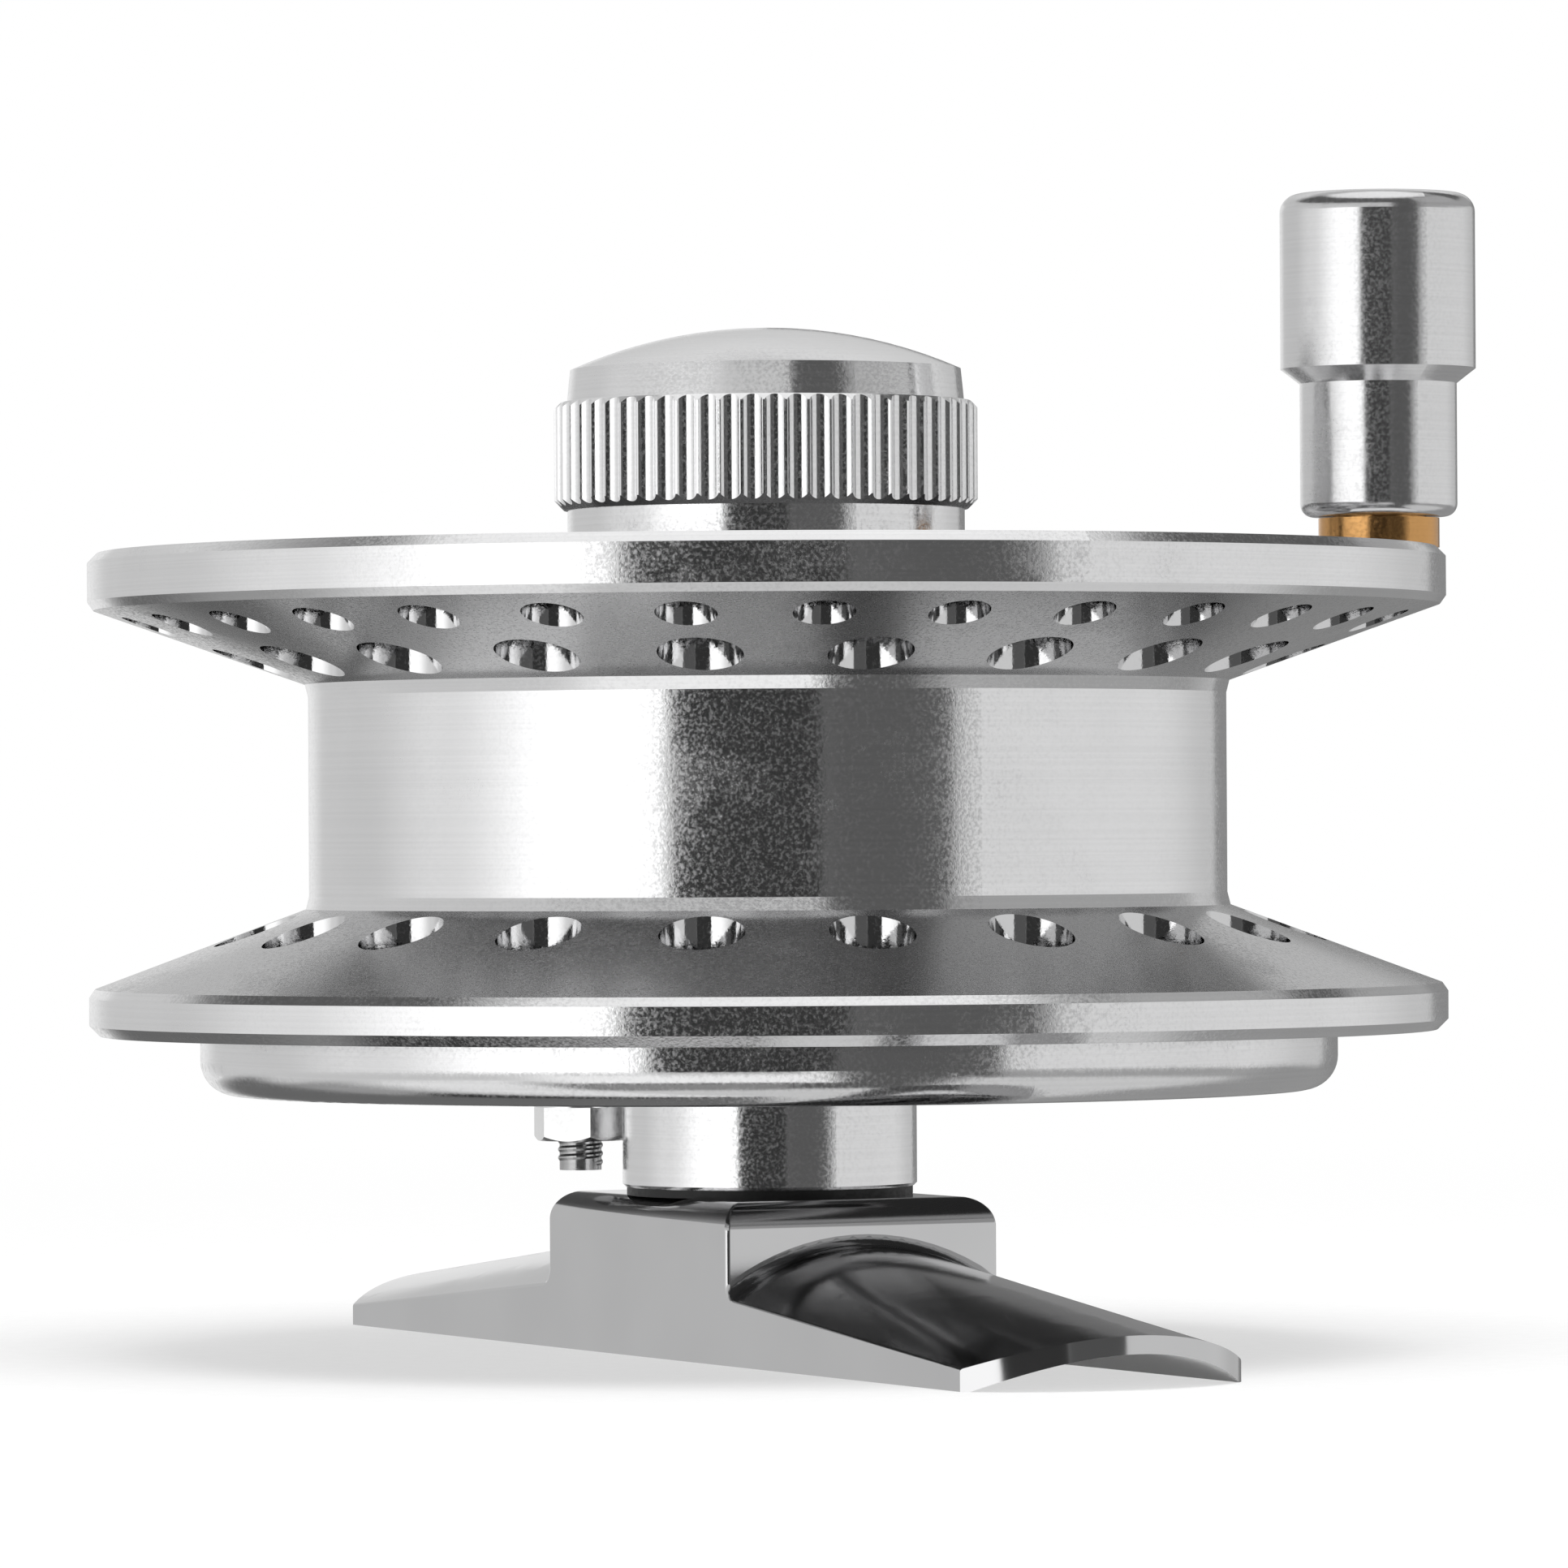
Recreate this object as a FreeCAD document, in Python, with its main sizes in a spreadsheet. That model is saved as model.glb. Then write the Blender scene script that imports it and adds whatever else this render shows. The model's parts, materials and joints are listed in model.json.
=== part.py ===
"""Raft fishing reel: a flanged spool on a spindle that stands on a rod foot.

Every size is in millimetres or degrees. The origin is at the bottom of the
foot, on the spool's axis. +Z runs up the spool's axis and +X along the foot.
"""
import math
import os

import FreeCAD
import Part
import Sketcher

SIZES = {
    # Foot that is strapped to the rod
    "foot_half_length": 36.06,
    "foot_half_width": 7.05,
    "foot_blank_half_width": 7.25,
    "foot_block_half_length": 9.6,
    "foot_top": 7.46,
    "foot_block_rounding": 1.35,
    "foot_block_edge": 0.2,
    "wing_root_height": 3.05,
    "wing_root_rise": 2.3,
    "wing_root_fillet": 0.6,
    "wing_tip_height": 0.68,
    "wing_tip_rise": 1.74,
    "wing_bow_radius": 9.0,
    "wing_cut_end": 37.5,
    "saddle_radius": 15.04,
    "saddle_depth": 1.6,
    "foot_screw_distance": 3.8,
    "foot_screw_radius": 1.25,
    "foot_screw_hole_radius": 1.35,
    "foot_screw_head_radius": 2.35,
    "foot_screw_head_level": 1.95,
    "foot_screw_cone_top": 3.05,
    "foot_screw_tip": 10.4,
    "foot_hole_end": 10.7,
    # Washer and stem between foot and back plate
    "stem_washer_radius": 6.75,
    "stem_bottom": 7.84,
    "stem_radius": 6.95,
    "stem_edge": 0.15,
    # Back plate
    "plate_bottom": 12.3,
    "plate_floor": 13.9,
    "plate_top": 15.4,
    "plate_radius": 26.8,
    "plate_rim_width": 2.6,
    "plate_rounding": 1.6,
    "plate_edge": 0.3,
    "plate_screw_distance": 5.0,
    "plate_screw_radius": 1.0,
    "plate_screw_head_radius": 1.9,
    "plate_screw_cone_bottom": 13.0,
    "plate_screw_tip": 9.6,
    "plate_hole_end": 9.3,
    # Spindle
    "spindle_bottom": 8.7,
    "spindle_radius": 2.0,
    "spindle_flange_radius": 2.9,
    "spindle_flange_top": 15.1,
    "spindle_shoulder_radius": 2.6,
    "spindle_top": 44.6,
    "spindle_flat_bottom": 35.25,
    "spindle_flat_top": 40.7,
    "spindle_flat_offset": 1.6,
    # Ball bearings
    "rear_bearing_bottom": 17.0,
    "rear_bearing_top": 21.0,
    "front_bearing_bottom": 28.5,
    "front_bearing_top": 32.5,
    "bearing_radius": 4.5,
    "inner_race_radius": 2.7,
    "outer_race_inner_radius": 3.8,
    "ball_circle_radius": 3.25,
    "ball_radius": 0.78,
    "race_groove_radius": 0.83,
    "cage_inner_radius": 2.95,
    "cage_outer_radius": 3.55,
    "cage_half_height": 1.15,
    "cage_pocket_radius": 0.83,
    "shield_inner_radius": 2.85,
    "shield_thickness": 0.2,
    "shield_inset": 0.15,
    "spacer_radius": 2.7,
    # Spool
    "rim_radius": 32.0,
    "spool_bottom": 15.1,
    "lower_rim_top": 17.2,
    "lower_rim_bevel": 0.5,
    "arbor_bottom": 21.0,
    "flange_depth": 10.35,
    "arbor_flare": 0.15,
    "arbor_flare_height": 0.6,
    "arbor_top": 31.57,
    "upper_rim_bottom": 35.18,
    "spool_top": 37.76,
    "upper_rim_bevel": 0.45,
    "rim_edge": 0.3,
    "lower_lip_width": 1.8,
    "lower_lip_top": 16.1,
    "drum_wall": 1.3,
    "drum_hollow_bottom": 19.67,
    "rim_face_width": 5.1,
    "dish_rim_level": 35.25,
    "web_bottom": 31.6,
    "web_top": 33.4,
    "web_hole_circle_radius": 14.5,
    "web_hole_radius": 2.4,
    "hub_radius": 5.9,
    "hub_fillet": 1.0,
    "hub_bottom": 15.6,
    "hub_boss_radius": 8.6,
    "hub_top": 36.9,
    "hub_shoulder_radius": 3.9,
    "drag_pocket_radius": 7.6,
    "drag_pocket_floor": 34.6,
    "inner_hole_dish_distance": 2.5,
    "inner_hole_radius": 1.95,
    "inner_hole_offset_angle": -6.0,
    "outer_hole_rim_distance": 2.8,
    "outer_hole_radius": 1.4,
    # Drag washers and springs
    "friction_washer_inner": 4.9,
    "friction_washer_radius": 7.4,
    "friction_washer_top": 35.2,
    "key_washer_radius": 7.2,
    "key_washer_bottom": 35.25,
    "key_washer_top": 36.05,
    "disc_spring_bottom": 36.1,
    "disc_spring_inner": 2.3,
    "disc_spring_radius": 6.9,
    "disc_spring_cone": 0.56,
    "disc_spring_thickness": 0.5,
    "disc_spring_pitch": 1.08,
    "thrust_washer_bottom": 40.42,
    "thrust_washer_top": 40.85,
    # Drag knob, its cap and its stop
    "skirt_inner_radius": 7.9,
    "skirt_bottom": 37.3,
    "knob_band_radius": 9.375,
    "knob_band_taper": 0.15,
    "knurl_radius": 10.0,
    "knurl_bottom": 39.73,
    "knurl_top": 44.8,
    "knurl_lower_edge": 0.45,
    "knurl_upper_edge": 0.3,
    "flute_radius": 0.58,
    "flute_circle_radius": 10.31,
    "knob_ceiling": 40.9,
    "knob_thread_radius": 2.05,
    "knob_bore_floor": 44.2,
    "cap_spigot_radius": 8.1,
    "cap_spigot_bottom": 44.95,
    "cap_seat": 46.34,
    "cap_hollow_radius": 6.6,
    "cap_hollow_top": 47.2,
    "cap_top": 48.3,
    "stop_washer_radius": 3.3,
    "stop_washer_top": 45.0,
    "stop_screw_radius": 1.0,
    "stop_screw_head_radius": 1.9,
    "stop_screw_head_top": 46.3,
    "stop_screw_tip": 41.6,
    "stop_hole_end": 41.2,
    # Handle
    "handle_rim_distance": 3.1,
    "handle_angle": 62.5,
    "handle_boss_radius": 1.7,
    "handle_thread_radius": 1.25,
    "handle_thread_tip": 34.7,
    "handle_shank_radius": 1.5,
    "bush_flange_radius": 2.85,
    "bush_flange_top": 39.15,
    "bush_sleeve_radius": 2.2,
    "bush_depth": 4.5,
    "handle_head_radius": 2.7,
    "handle_head_depth": 3.2,
    "handle_bore_radius": 2.25,
    "handle_bottom": 39.22,
    "handle_bottom_rounding": 0.6,
    "handle_neck_radius": 3.7,
    "handle_neck_top": 45.5,
    "handle_cone_top": 46.2,
    "handle_grip_radius": 4.6,
    "handle_counterbore": 3.0,
    "handle_shoulder_depth": 4.6,
    "handle_cap_thickness": 1.3,
    "handle_top": 54.45,
    "handle_top_edge": 0.9,
    # Click wheel and pawl
    "wheel_top": 17.2,
    "wheel_tip_radius": 7.5,
    "wheel_root_radius": 6.75,
    "notch_root_half": 0.15,
    "notch_mouth_half": 0.95,
    "notch_mouth_radius": 7.7,
    "pawl_pivot_radius": 9.75,
    "pawl_pivot_angle": 221.0,
    "pawl_tooth_angle": 262.0,
    "pawl_arm_angle": 44.0,
    "pawl_arm_inner": 8.1,
    "pawl_arm_outer": 9.9,
    "pawl_boss_radius": 1.85,
    "pawl_flat_distance": 1.7,
    "pawl_hole_radius": 1.06,
    "pawl_seat": 15.6,
    "pawl_bottom": 15.65,
    "pawl_top": 17.0,
    "pawl_tooth_tip": 6.95,
    "pawl_tooth_size": 1.0,
    "pawl_post_radius": 1.6,
    "pawl_screw_radius": 1.0,
    "pawl_screw_head_radius": 1.9,
    "pawl_screw_head_bottom": 17.05,
    "pawl_screw_head_top": 18.3,
    "pawl_screw_tip": 8.5,
    "pawl_washer_radius": 2.5,
    "pawl_washer_bottom": 12.0,
    "lock_washer_radius": 2.2,
    "nut_top": 11.5,
    "nut_bottom": 9.9,
    "nut_corner_radius": 2.31,
    "nut_chamfer_radius": 2.0,
    "nut_turn_angle": -13.5,
    # Leaf spring behind the pawl
    "leaf_gap": 0.05,
    "leaf_thickness": 0.25,
    "leaf_start": -1.6,
    "leaf_end": 8.6,
    "leaf_top": 16.9,
    "leaf_tab_start": 4.2,
    "leaf_tab_width": 4.4,
    "leaf_tab_top": 14.2,
    "leaf_screw_along": 6.4,
    "leaf_screw_across": 2.5,
    "leaf_screw_radius": 0.8,
    "leaf_screw_head_radius": 1.6,
    "leaf_screw_head_top": 15.2,
    "leaf_screw_tip": 12.5,
    # Half a turn, for pieces that face inwards
    "half_turn_angle": 180.0,
    # Screw slots
    "slot_half_width": 0.3,
    "slot_depth": 0.6,
}

COUNTS = {
    "inner_hole_count": 20,
    "outer_hole_count": 30,
    "web_hole_count": 10,
    "flute_count": 60,
    "tooth_count": 24,
    "ball_count": 7,
    "nut_sides": 6,
    "pawl_tooth_corners": 3,
}

document = FreeCAD.newDocument("RaftFishingReel")
sheet = document.addObject("Spreadsheet::Sheet", "Sizes")
for row, (name, value) in enumerate({**SIZES, **COUNTS}.items(), start=1):
    sheet.set(f"A{row}", name)
    sheet.set(f"B{row}", str(value))
    sheet.setAlias(f"B{row}", name)
document.recompute()

# Sums of sizes that several pieces share
ARBOR = "rim_radius - flange_depth"
DRUM_BORE = ARBOR + " - drum_wall"
PAWL_FLAT = "pawl_pivot_radius + pawl_flat_distance"
LEAF_FACE = PAWL_FLAT + " + leaf_gap"
PAWL_FLAT_BOUNDS = (
    ("0 - pawl_boss_radius", "pawl_boss_radius"),
    (PAWL_FLAT, PAWL_FLAT + " + pawl_boss_radius"),
    ("pawl_bottom", "pawl_top"),
)

SUBPARTS = []


def size(name):
    """Value of one named cell of the sheet."""
    return float(getattr(sheet, name))


def value_of(formula):
    """Number that a sum such as 'hub_top - hub_bottom' comes to."""
    total = 0.0
    sign = 1.0
    for word in formula.split():
        if word == "+":
            sign = 1.0
        elif word == "-":
            sign = -1.0
        elif word == "0":
            continue
        else:
            total += sign * size(word)
            sign = 1.0
    return total


def span(limits):
    """The sum that reaches from the first of two sums to the second."""
    low, high = limits
    turned = {"+": "-", "-": "+"}
    words = ["-"] + [turned.get(word, word) for word in low.split()]
    return high + " " + " ".join(words)


def bound(formula):
    """The same sum as an expression on the sheet's cells."""
    words = []
    for word in formula.split():
        words.append(word if word in "+-0" else f"Sizes.{word}")
    return " ".join(words)


def bind(thing, prop, formula):
    """Ties a property of an object to a sum of named sizes."""
    thing.setExpression(prop, bound(formula))


def keep(thing, label):
    """Names a finished sub-part and lists it for writing out."""
    thing.Label = label
    SUBPARTS.append(thing)
    return thing


def new_body(label):
    """An empty body that becomes one sub-part."""
    return keep(document.addObject("PartDesign::Body", "body_" + label), label)


def new_sketch(body, role):
    """A sketch on one of the body's own origin planes."""
    sketch = body.newObject("Sketcher::SketchObject", "outline")
    for plane in body.Origin.OriginFeatures:
        if plane.Role == role:
            sketch.AttachmentSupport = [(plane, "")]
    sketch.MapMode = "FlatFace"
    return sketch


def pin_point(sketch, edge, corner, formulas):
    """Holds a line's end at a pair of named coordinates."""
    directions = (("DistanceX", -2), ("DistanceY", -1))
    for (direction, axis), formula in zip(directions, formulas):
        if formula == "0":
            sketch.addConstraint(Sketcher.Constraint("PointOnObject", edge, corner, axis))
            continue
        constraint = Sketcher.Constraint(direction, -1, 1, edge, corner, value_of(formula))
        index = sketch.addConstraint(constraint)
        sketch.setExpression(f"Constraints[{index}]", bound(formula))


def draw_outline(sketch, corners):
    """A closed outline through corners given as pairs of named coordinates."""
    first = sketch.GeometryCount
    points = [FreeCAD.Vector(value_of(across), value_of(up), 0) for across, up in corners]
    for index, point in enumerate(points):
        after = points[(index + 1) % len(points)]
        sketch.addGeometry(Part.LineSegment(point, after), False)
    for index, corner in enumerate(corners):
        following = first + (index + 1) % len(points)
        sketch.addConstraint(Sketcher.Constraint("Coincident", first + index, 2, following, 1))
        pin_point(sketch, first + index, 1, corner)


def draw_circle(sketch, across, up, radius):
    """A circle whose centre and radius are named sizes."""
    centre = FreeCAD.Vector(value_of(across), value_of(up), 0)
    circle = Part.Circle(centre, FreeCAD.Vector(0, 0, 1), value_of(radius))
    edge = sketch.addGeometry(circle, False)
    pin_point(sketch, edge, 3, (across, up))
    index = sketch.addConstraint(Sketcher.Constraint("Radius", edge, value_of(radius)))
    sketch.setExpression(f"Constraints[{index}]", bound(radius))


def revolve(body, corners):
    """A turned solid from an outline of radius and height pairs."""
    sketch = new_sketch(body, "XZ_Plane")
    draw_outline(sketch, corners)
    turned = body.newObject("PartDesign::Revolution", "turned")
    turned.Profile = sketch
    turned.ReferenceAxis = (sketch, ["V_Axis"])
    turned.Angle = 360.0
    document.recompute()
    return turned


def rectangle(inner, outer, bottom, top):
    """Corners of a ring's cross-section."""
    return [(inner, bottom), (outer, bottom), (outer, top), (inner, top)]


def ring(label, inner, outer, bottom, top):
    """A plain washer, tube or disc about the spool's axis."""
    body = new_body(label)
    revolve(body, rectangle(inner, outer, bottom, top))
    return body


def circle_edges(body, radius, level):
    """Names of the body's round edges at a radius and height."""
    names = []
    for index, edge in enumerate(body.Shape.Edges, start=1):
        curve = edge.Curve
        if not isinstance(curve, Part.Circle):
            continue
        same_radius = math.isclose(curve.Radius, value_of(radius), abs_tol=1e-4)
        same_level = math.isclose(curve.Center.z, value_of(level), abs_tol=1e-4)
        if same_radius and same_level:
            names.append(f"Edge{index}")
    return names


def dress(body, kind, edges, prop, formula):
    """A fillet or chamfer of a named size on the given edges."""
    if not edges:
        raise ValueError(f"{body.Label} has no edge for its {formula}")
    base = body.Tip
    feature = body.newObject("PartDesign::" + kind, kind.lower())
    feature.Base = (base, edges)
    bind(feature, prop, formula)
    body.Tip = feature
    document.recompute()
    return feature


def round_ring(body, radius, level, formula):
    """Rounds the round edge at a radius and height."""
    return dress(body, "Fillet", circle_edges(body, radius, level), "Radius", formula)


def bevel_ring(body, radius, level, formula):
    """Chamfers the round edge at a radius and height."""
    return dress(body, "Chamfer", circle_edges(body, radius, level), "Size", formula)


def primitive(body, kind, sizes, base, mover=None):
    """An added or cut solid at a named place in the body, or where its mover puts it."""
    feature = body.newObject("PartDesign::" + kind, kind.lower())
    for prop, formula in sizes.items():
        bind(feature, prop, formula)
    for axis, formula in zip("xyz", base):
        bind(feature, f"Placement.Base.{axis}", formula)
    if mover:
        mover(feature)
    before = body.Shape.Volume
    document.recompute()
    change = body.Shape.Volume - before
    if (change if kind.startswith("Additive") else -change) <= 0:
        raise ValueError(f"{body.Label}: {kind} changed nothing")
    return feature


def cut_cylinder(body, radius, across, along, bottom, top):
    """A round hole between two heights."""
    sizes = {"Radius": radius, "Height": f"{top} - {bottom}"}
    return primitive(body, "SubtractiveCylinder", sizes, (across, along, bottom))


def cut_cone(body, radii, across, along, bottom, top):
    """A conical seat between two heights, radius below and radius above."""
    sizes = {"Radius1": radii[0], "Radius2": radii[1], "Height": f"{top} - {bottom}"}
    return primitive(body, "SubtractiveCone", sizes, (across, along, bottom))


def cut_slot(body, head_radius, bottom):
    """A driver slot across a screw's head, up from a height."""
    sizes = {
        "Length": f"{head_radius} + {head_radius}",
        "Width": "slot_half_width + slot_half_width",
        "Height": "slot_depth",
    }
    base = (f"0 - {head_radius}", "0 - slot_half_width", bottom)
    return primitive(body, "SubtractiveBox", sizes, base)


def pocket_upward(body, sketch):
    """Cuts a sketch through everything above it."""
    before = body.Shape.Volume
    pocket = body.newObject("PartDesign::Pocket", "pocket")
    pocket.Profile = sketch
    pocket.Type = "ThroughAll"
    pocket.Reversed = True
    document.recompute()
    if body.Shape.Volume >= before:
        raise ValueError(f"{body.Label}: a pocket cut nothing")
    return pocket


def repeat_round(body, feature, count):
    """Repeats a feature round the spool's axis a named number of times."""
    pattern = body.newObject("PartDesign::PolarPattern", "pattern")
    pattern.Originals = [feature]
    for line in body.Origin.OriginFeatures:
        if line.Role == "Z_Axis":
            pattern.Axis = (line, [""])
    pattern.Angle = 360.0
    bind(pattern, "Occurrences", count)
    body.Tip = pattern
    document.recompute()
    return pattern


def lie_along_x(thing):
    """Lays an upright piece down along X."""
    thing.setExpression("Placement.Rotation.Axis.x", "0")
    thing.setExpression("Placement.Rotation.Axis.y", "1")
    thing.setExpression("Placement.Rotation.Axis.z", "0")
    thing.setExpression("Placement.Rotation.Angle", "90 deg")


def place_round(thing, reach, angle):
    """Moves a piece out from the spool's axis by a named reach at a named angle."""
    out = f"({bound(reach)})"
    turn = f"({bound(angle)}) * 1 deg"
    thing.setExpression("Placement.Base.x", f"{out} * cos({turn})")
    thing.setExpression("Placement.Base.y", f"{out} * sin({turn})")


def turn_about_axis(thing, formula):
    """Turns a piece about the spool's axis by a sum of named angles."""
    thing.setExpression("Placement.Rotation.Axis.z", "1")
    thing.setExpression("Placement.Rotation.Angle", bound(formula))


def raised_sketch(body, level):
    """A level sketch at a named height."""
    sketch = new_sketch(body, "XY_Plane")
    bind(sketch, "AttachmentOffset.Base.z", level)
    return sketch


def round_hole_row(body, level, circle, radius, count, turn):
    """A ring of upright holes, its first hole at a named angle."""
    sketch = raised_sketch(body, level)
    sketch.setExpression("AttachmentOffset.Rotation.Axis.z", "1")
    bind(sketch, "AttachmentOffset.Rotation.Angle", turn)
    draw_circle(sketch, circle, "0", radius)
    repeat_round(body, pocket_upward(body, sketch), count)


def wing_section(body, distance, height, rise_name):
    """Cross-section of a foot wing, a little too wide: upright sides and an arched top."""
    sketch = new_sketch(body, "YZ_Plane")
    bind(sketch, "AttachmentOffset.Base.z", distance)
    half = size("foot_half_width")
    rise = size(rise_name)
    blank = "foot_blank_half_width"
    radius = (half * half + rise * rise) / (2 * rise)
    centre_level = value_of(height) + rise - radius
    edge_level = centre_level + math.sqrt(radius**2 - size(blank) ** 2)
    low_left = FreeCAD.Vector(-size(blank), 0, 0)
    low_right = FreeCAD.Vector(size(blank), 0, 0)
    high_right = FreeCAD.Vector(size(blank), edge_level, 0)
    high_left = FreeCAD.Vector(-size(blank), edge_level, 0)
    crown = FreeCAD.Vector(0, centre_level + radius, 0)
    sketch.addGeometry(Part.LineSegment(low_left, low_right), False)
    sketch.addGeometry(Part.LineSegment(low_right, high_right), False)
    sketch.addGeometry(Part.Arc(high_right, crown, high_left), False)
    sketch.addGeometry(Part.LineSegment(high_left, low_left), False)
    pin_point(sketch, 0, 1, (f"0 - {blank}", "0"))
    pin_point(sketch, 0, 2, (blank, "0"))
    for first, second in ((0, 1), (1, 2), (2, 3), (3, 0)):
        sketch.addConstraint(Sketcher.Constraint("Coincident", first, 2, second, 1))
    sketch.addConstraint(Sketcher.Constraint("Vertical", 1))
    sketch.addConstraint(Sketcher.Constraint("Vertical", 3))
    width = "Sizes.foot_half_width"
    lift = f"Sizes.{rise_name}"
    curve = f"({width} * {width} + {lift} * {lift}) / (2 * {lift})"
    index = sketch.addConstraint(Sketcher.Constraint("Radius", 2, radius))
    sketch.setExpression(f"Constraints[{index}]", curve)
    index = sketch.addConstraint(Sketcher.Constraint("DistanceY", -1, 1, 2, 3, centre_level))
    sketch.setExpression(f"Constraints[{index}]", f"{bound(height)} + {lift} - {curve}")
    return sketch


def trim_foot_sides(body):
    """Cuts the block and both wings to one width with two flat sides."""
    sizes = {
        "Length": "foot_half_length + foot_half_length",
        "Width": "foot_half_width",
        "Height": "foot_top",
    }
    for side in ("foot_half_width", "0 - foot_half_width - foot_half_width"):
        primitive(body, "SubtractiveBox", sizes, ("0 - foot_half_length", side, "0"))


def cut_bows(body):
    """Cuts both tips of the foot to a bow, seen from above."""
    sketch = new_sketch(body, "XY_Plane")
    width = size("foot_blank_half_width")
    radius = size("wing_bow_radius")
    middle = size("foot_half_length") - radius
    start = middle + math.sqrt(radius**2 - width**2)
    end = size("wing_cut_end")
    left_start = FreeCAD.Vector(start, width, 0)
    left_end = FreeCAD.Vector(end, width, 0)
    right_end = FreeCAD.Vector(end, -width, 0)
    right_start = FreeCAD.Vector(start, -width, 0)
    crown = FreeCAD.Vector(size("foot_half_length"), 0, 0)
    sketch.addGeometry(Part.LineSegment(left_start, left_end), False)
    sketch.addGeometry(Part.LineSegment(left_end, right_end), False)
    sketch.addGeometry(Part.LineSegment(right_end, right_start), False)
    sketch.addGeometry(Part.Arc(right_start, crown, left_start), False)
    for first, second in ((0, 1), (1, 2), (2, 3), (3, 0)):
        sketch.addConstraint(Sketcher.Constraint("Coincident", first, 2, second, 1))
    sketch.addConstraint(Sketcher.Constraint("Horizontal", 0))
    sketch.addConstraint(Sketcher.Constraint("Horizontal", 2))
    pin_point(sketch, 0, 2, ("wing_cut_end", "foot_blank_half_width"))
    pin_point(sketch, 1, 2, ("wing_cut_end", "0 - foot_blank_half_width"))
    pin_point(sketch, 3, 3, ("foot_half_length - wing_bow_radius", "0"))
    index = sketch.addConstraint(Sketcher.Constraint("Radius", 3, radius))
    sketch.setExpression(f"Constraints[{index}]", "Sizes.wing_bow_radius")
    bow = body.newObject("PartDesign::Pocket", "bow")
    bow.Profile = sketch
    bow.Type = "ThroughAll"
    bow.Midplane = True
    document.recompute()
    mirror = body.newObject("PartDesign::Mirrored", "second_bow")
    mirror.Originals = [bow]
    for plane in body.Origin.OriginFeatures:
        if plane.Role == "YZ_Plane":
            mirror.MirrorPlane = (plane, [""])
    body.Tip = mirror
    document.recompute()


def straight_edges(body, accept):
    """Names of the body's straight edges whose two ends pass a test."""
    names = []
    for index, edge in enumerate(body.Shape.Edges, start=1):
        if len(edge.Vertexes) != 2 or not isinstance(edge.Curve, Part.Line):
            continue
        if all(accept(vertex.Point) for vertex in edge.Vertexes):
            names.append(f"Edge{index}")
    return names


def is_upright(body, name):
    """Whether a straight edge stands upright."""
    start, end = (vertex.Point for vertex in body.Shape.getElement(name).Vertexes)
    return math.hypot(end.x - start.x, end.y - start.y) < 1e-4


def arched_edges(body, distance):
    """Names of the curved edges that lie in the planes at plus and minus a distance."""
    names = []
    for index, edge in enumerate(body.Shape.Edges, start=1):
        if isinstance(edge.Curve, Part.Line):
            continue
        box = edge.BoundBox
        flat = box.XLength < 1e-4
        there = math.isclose(abs(box.Center.x), distance, abs_tol=1e-4)
        high = box.ZMin > size("wing_root_height") - 1e-3
        if flat and there and high:
            names.append(f"Edge{index}")
    return names


def build_foot():
    """Foot: a block with two arched, tapering wings over a hollow rod seat."""
    body = new_body("foot")
    block = new_sketch(body, "XY_Plane")
    length = "foot_block_half_length"
    width = "foot_blank_half_width"
    corners = [(f"0 - {length}", f"0 - {width}"), (length, f"0 - {width}")]
    corners += [(length, width), (f"0 - {length}", width)]
    draw_outline(block, corners)
    pad = body.newObject("PartDesign::Pad", "block")
    pad.Profile = block
    bind(pad, "Length", "foot_top")
    document.recompute()
    root = wing_section(body, "foot_block_half_length", "wing_root_height", "wing_root_rise")
    tip = wing_section(body, "foot_half_length", "wing_tip_height", "wing_tip_rise")
    wing = body.newObject("PartDesign::AdditiveLoft", "wing")
    wing.Profile = root
    wing.Sections = [tip]
    wing.Ruled = True
    document.recompute()
    mirror = body.newObject("PartDesign::Mirrored", "second_wing")
    mirror.Originals = [wing]
    for plane in body.Origin.OriginFeatures:
        if plane.Role == "YZ_Plane":
            mirror.MirrorPlane = (plane, [""])
    body.Tip = mirror
    document.recompute()
    trim_foot_sides(body)
    dress(body, "Fillet", arched_edges(body, size(length)), "Radius", "wing_root_fillet")

    def on_top(point):
        return math.isclose(point.z, size("foot_top"), abs_tol=1e-4)

    dress(body, "Fillet", straight_edges(body, on_top), "Radius", "foot_block_rounding")

    def at_block_corner(point):
        return math.isclose(abs(point.x), size("foot_block_half_length"), abs_tol=1e-4)

    corners = [name for name in straight_edges(body, at_block_corner) if is_upright(body, name)]
    dress(body, "Fillet", corners, "Radius", "foot_block_edge")
    cut_bows(body)
    saddle = new_sketch(body, "YZ_Plane")
    draw_circle(saddle, "0", "saddle_depth - saddle_radius", "saddle_radius")
    groove = body.newObject("PartDesign::Pocket", "rod_seat")
    groove.Profile = saddle
    groove.Type = "ThroughAll"
    groove.Midplane = True
    document.recompute()
    for side in ("foot_screw_distance", "0 - foot_screw_distance"):
        cut_cylinder(body, "foot_screw_hole_radius", side, "0", "foot_screw_cone_top", "foot_top")
        radii = ("foot_screw_head_radius", "foot_screw_radius")
        cut_cone(body, radii, side, "0", "foot_screw_head_level", "foot_screw_cone_top")
        cut_cylinder(body, "foot_screw_head_radius", side, "0", "0", "foot_screw_head_level")


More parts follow.
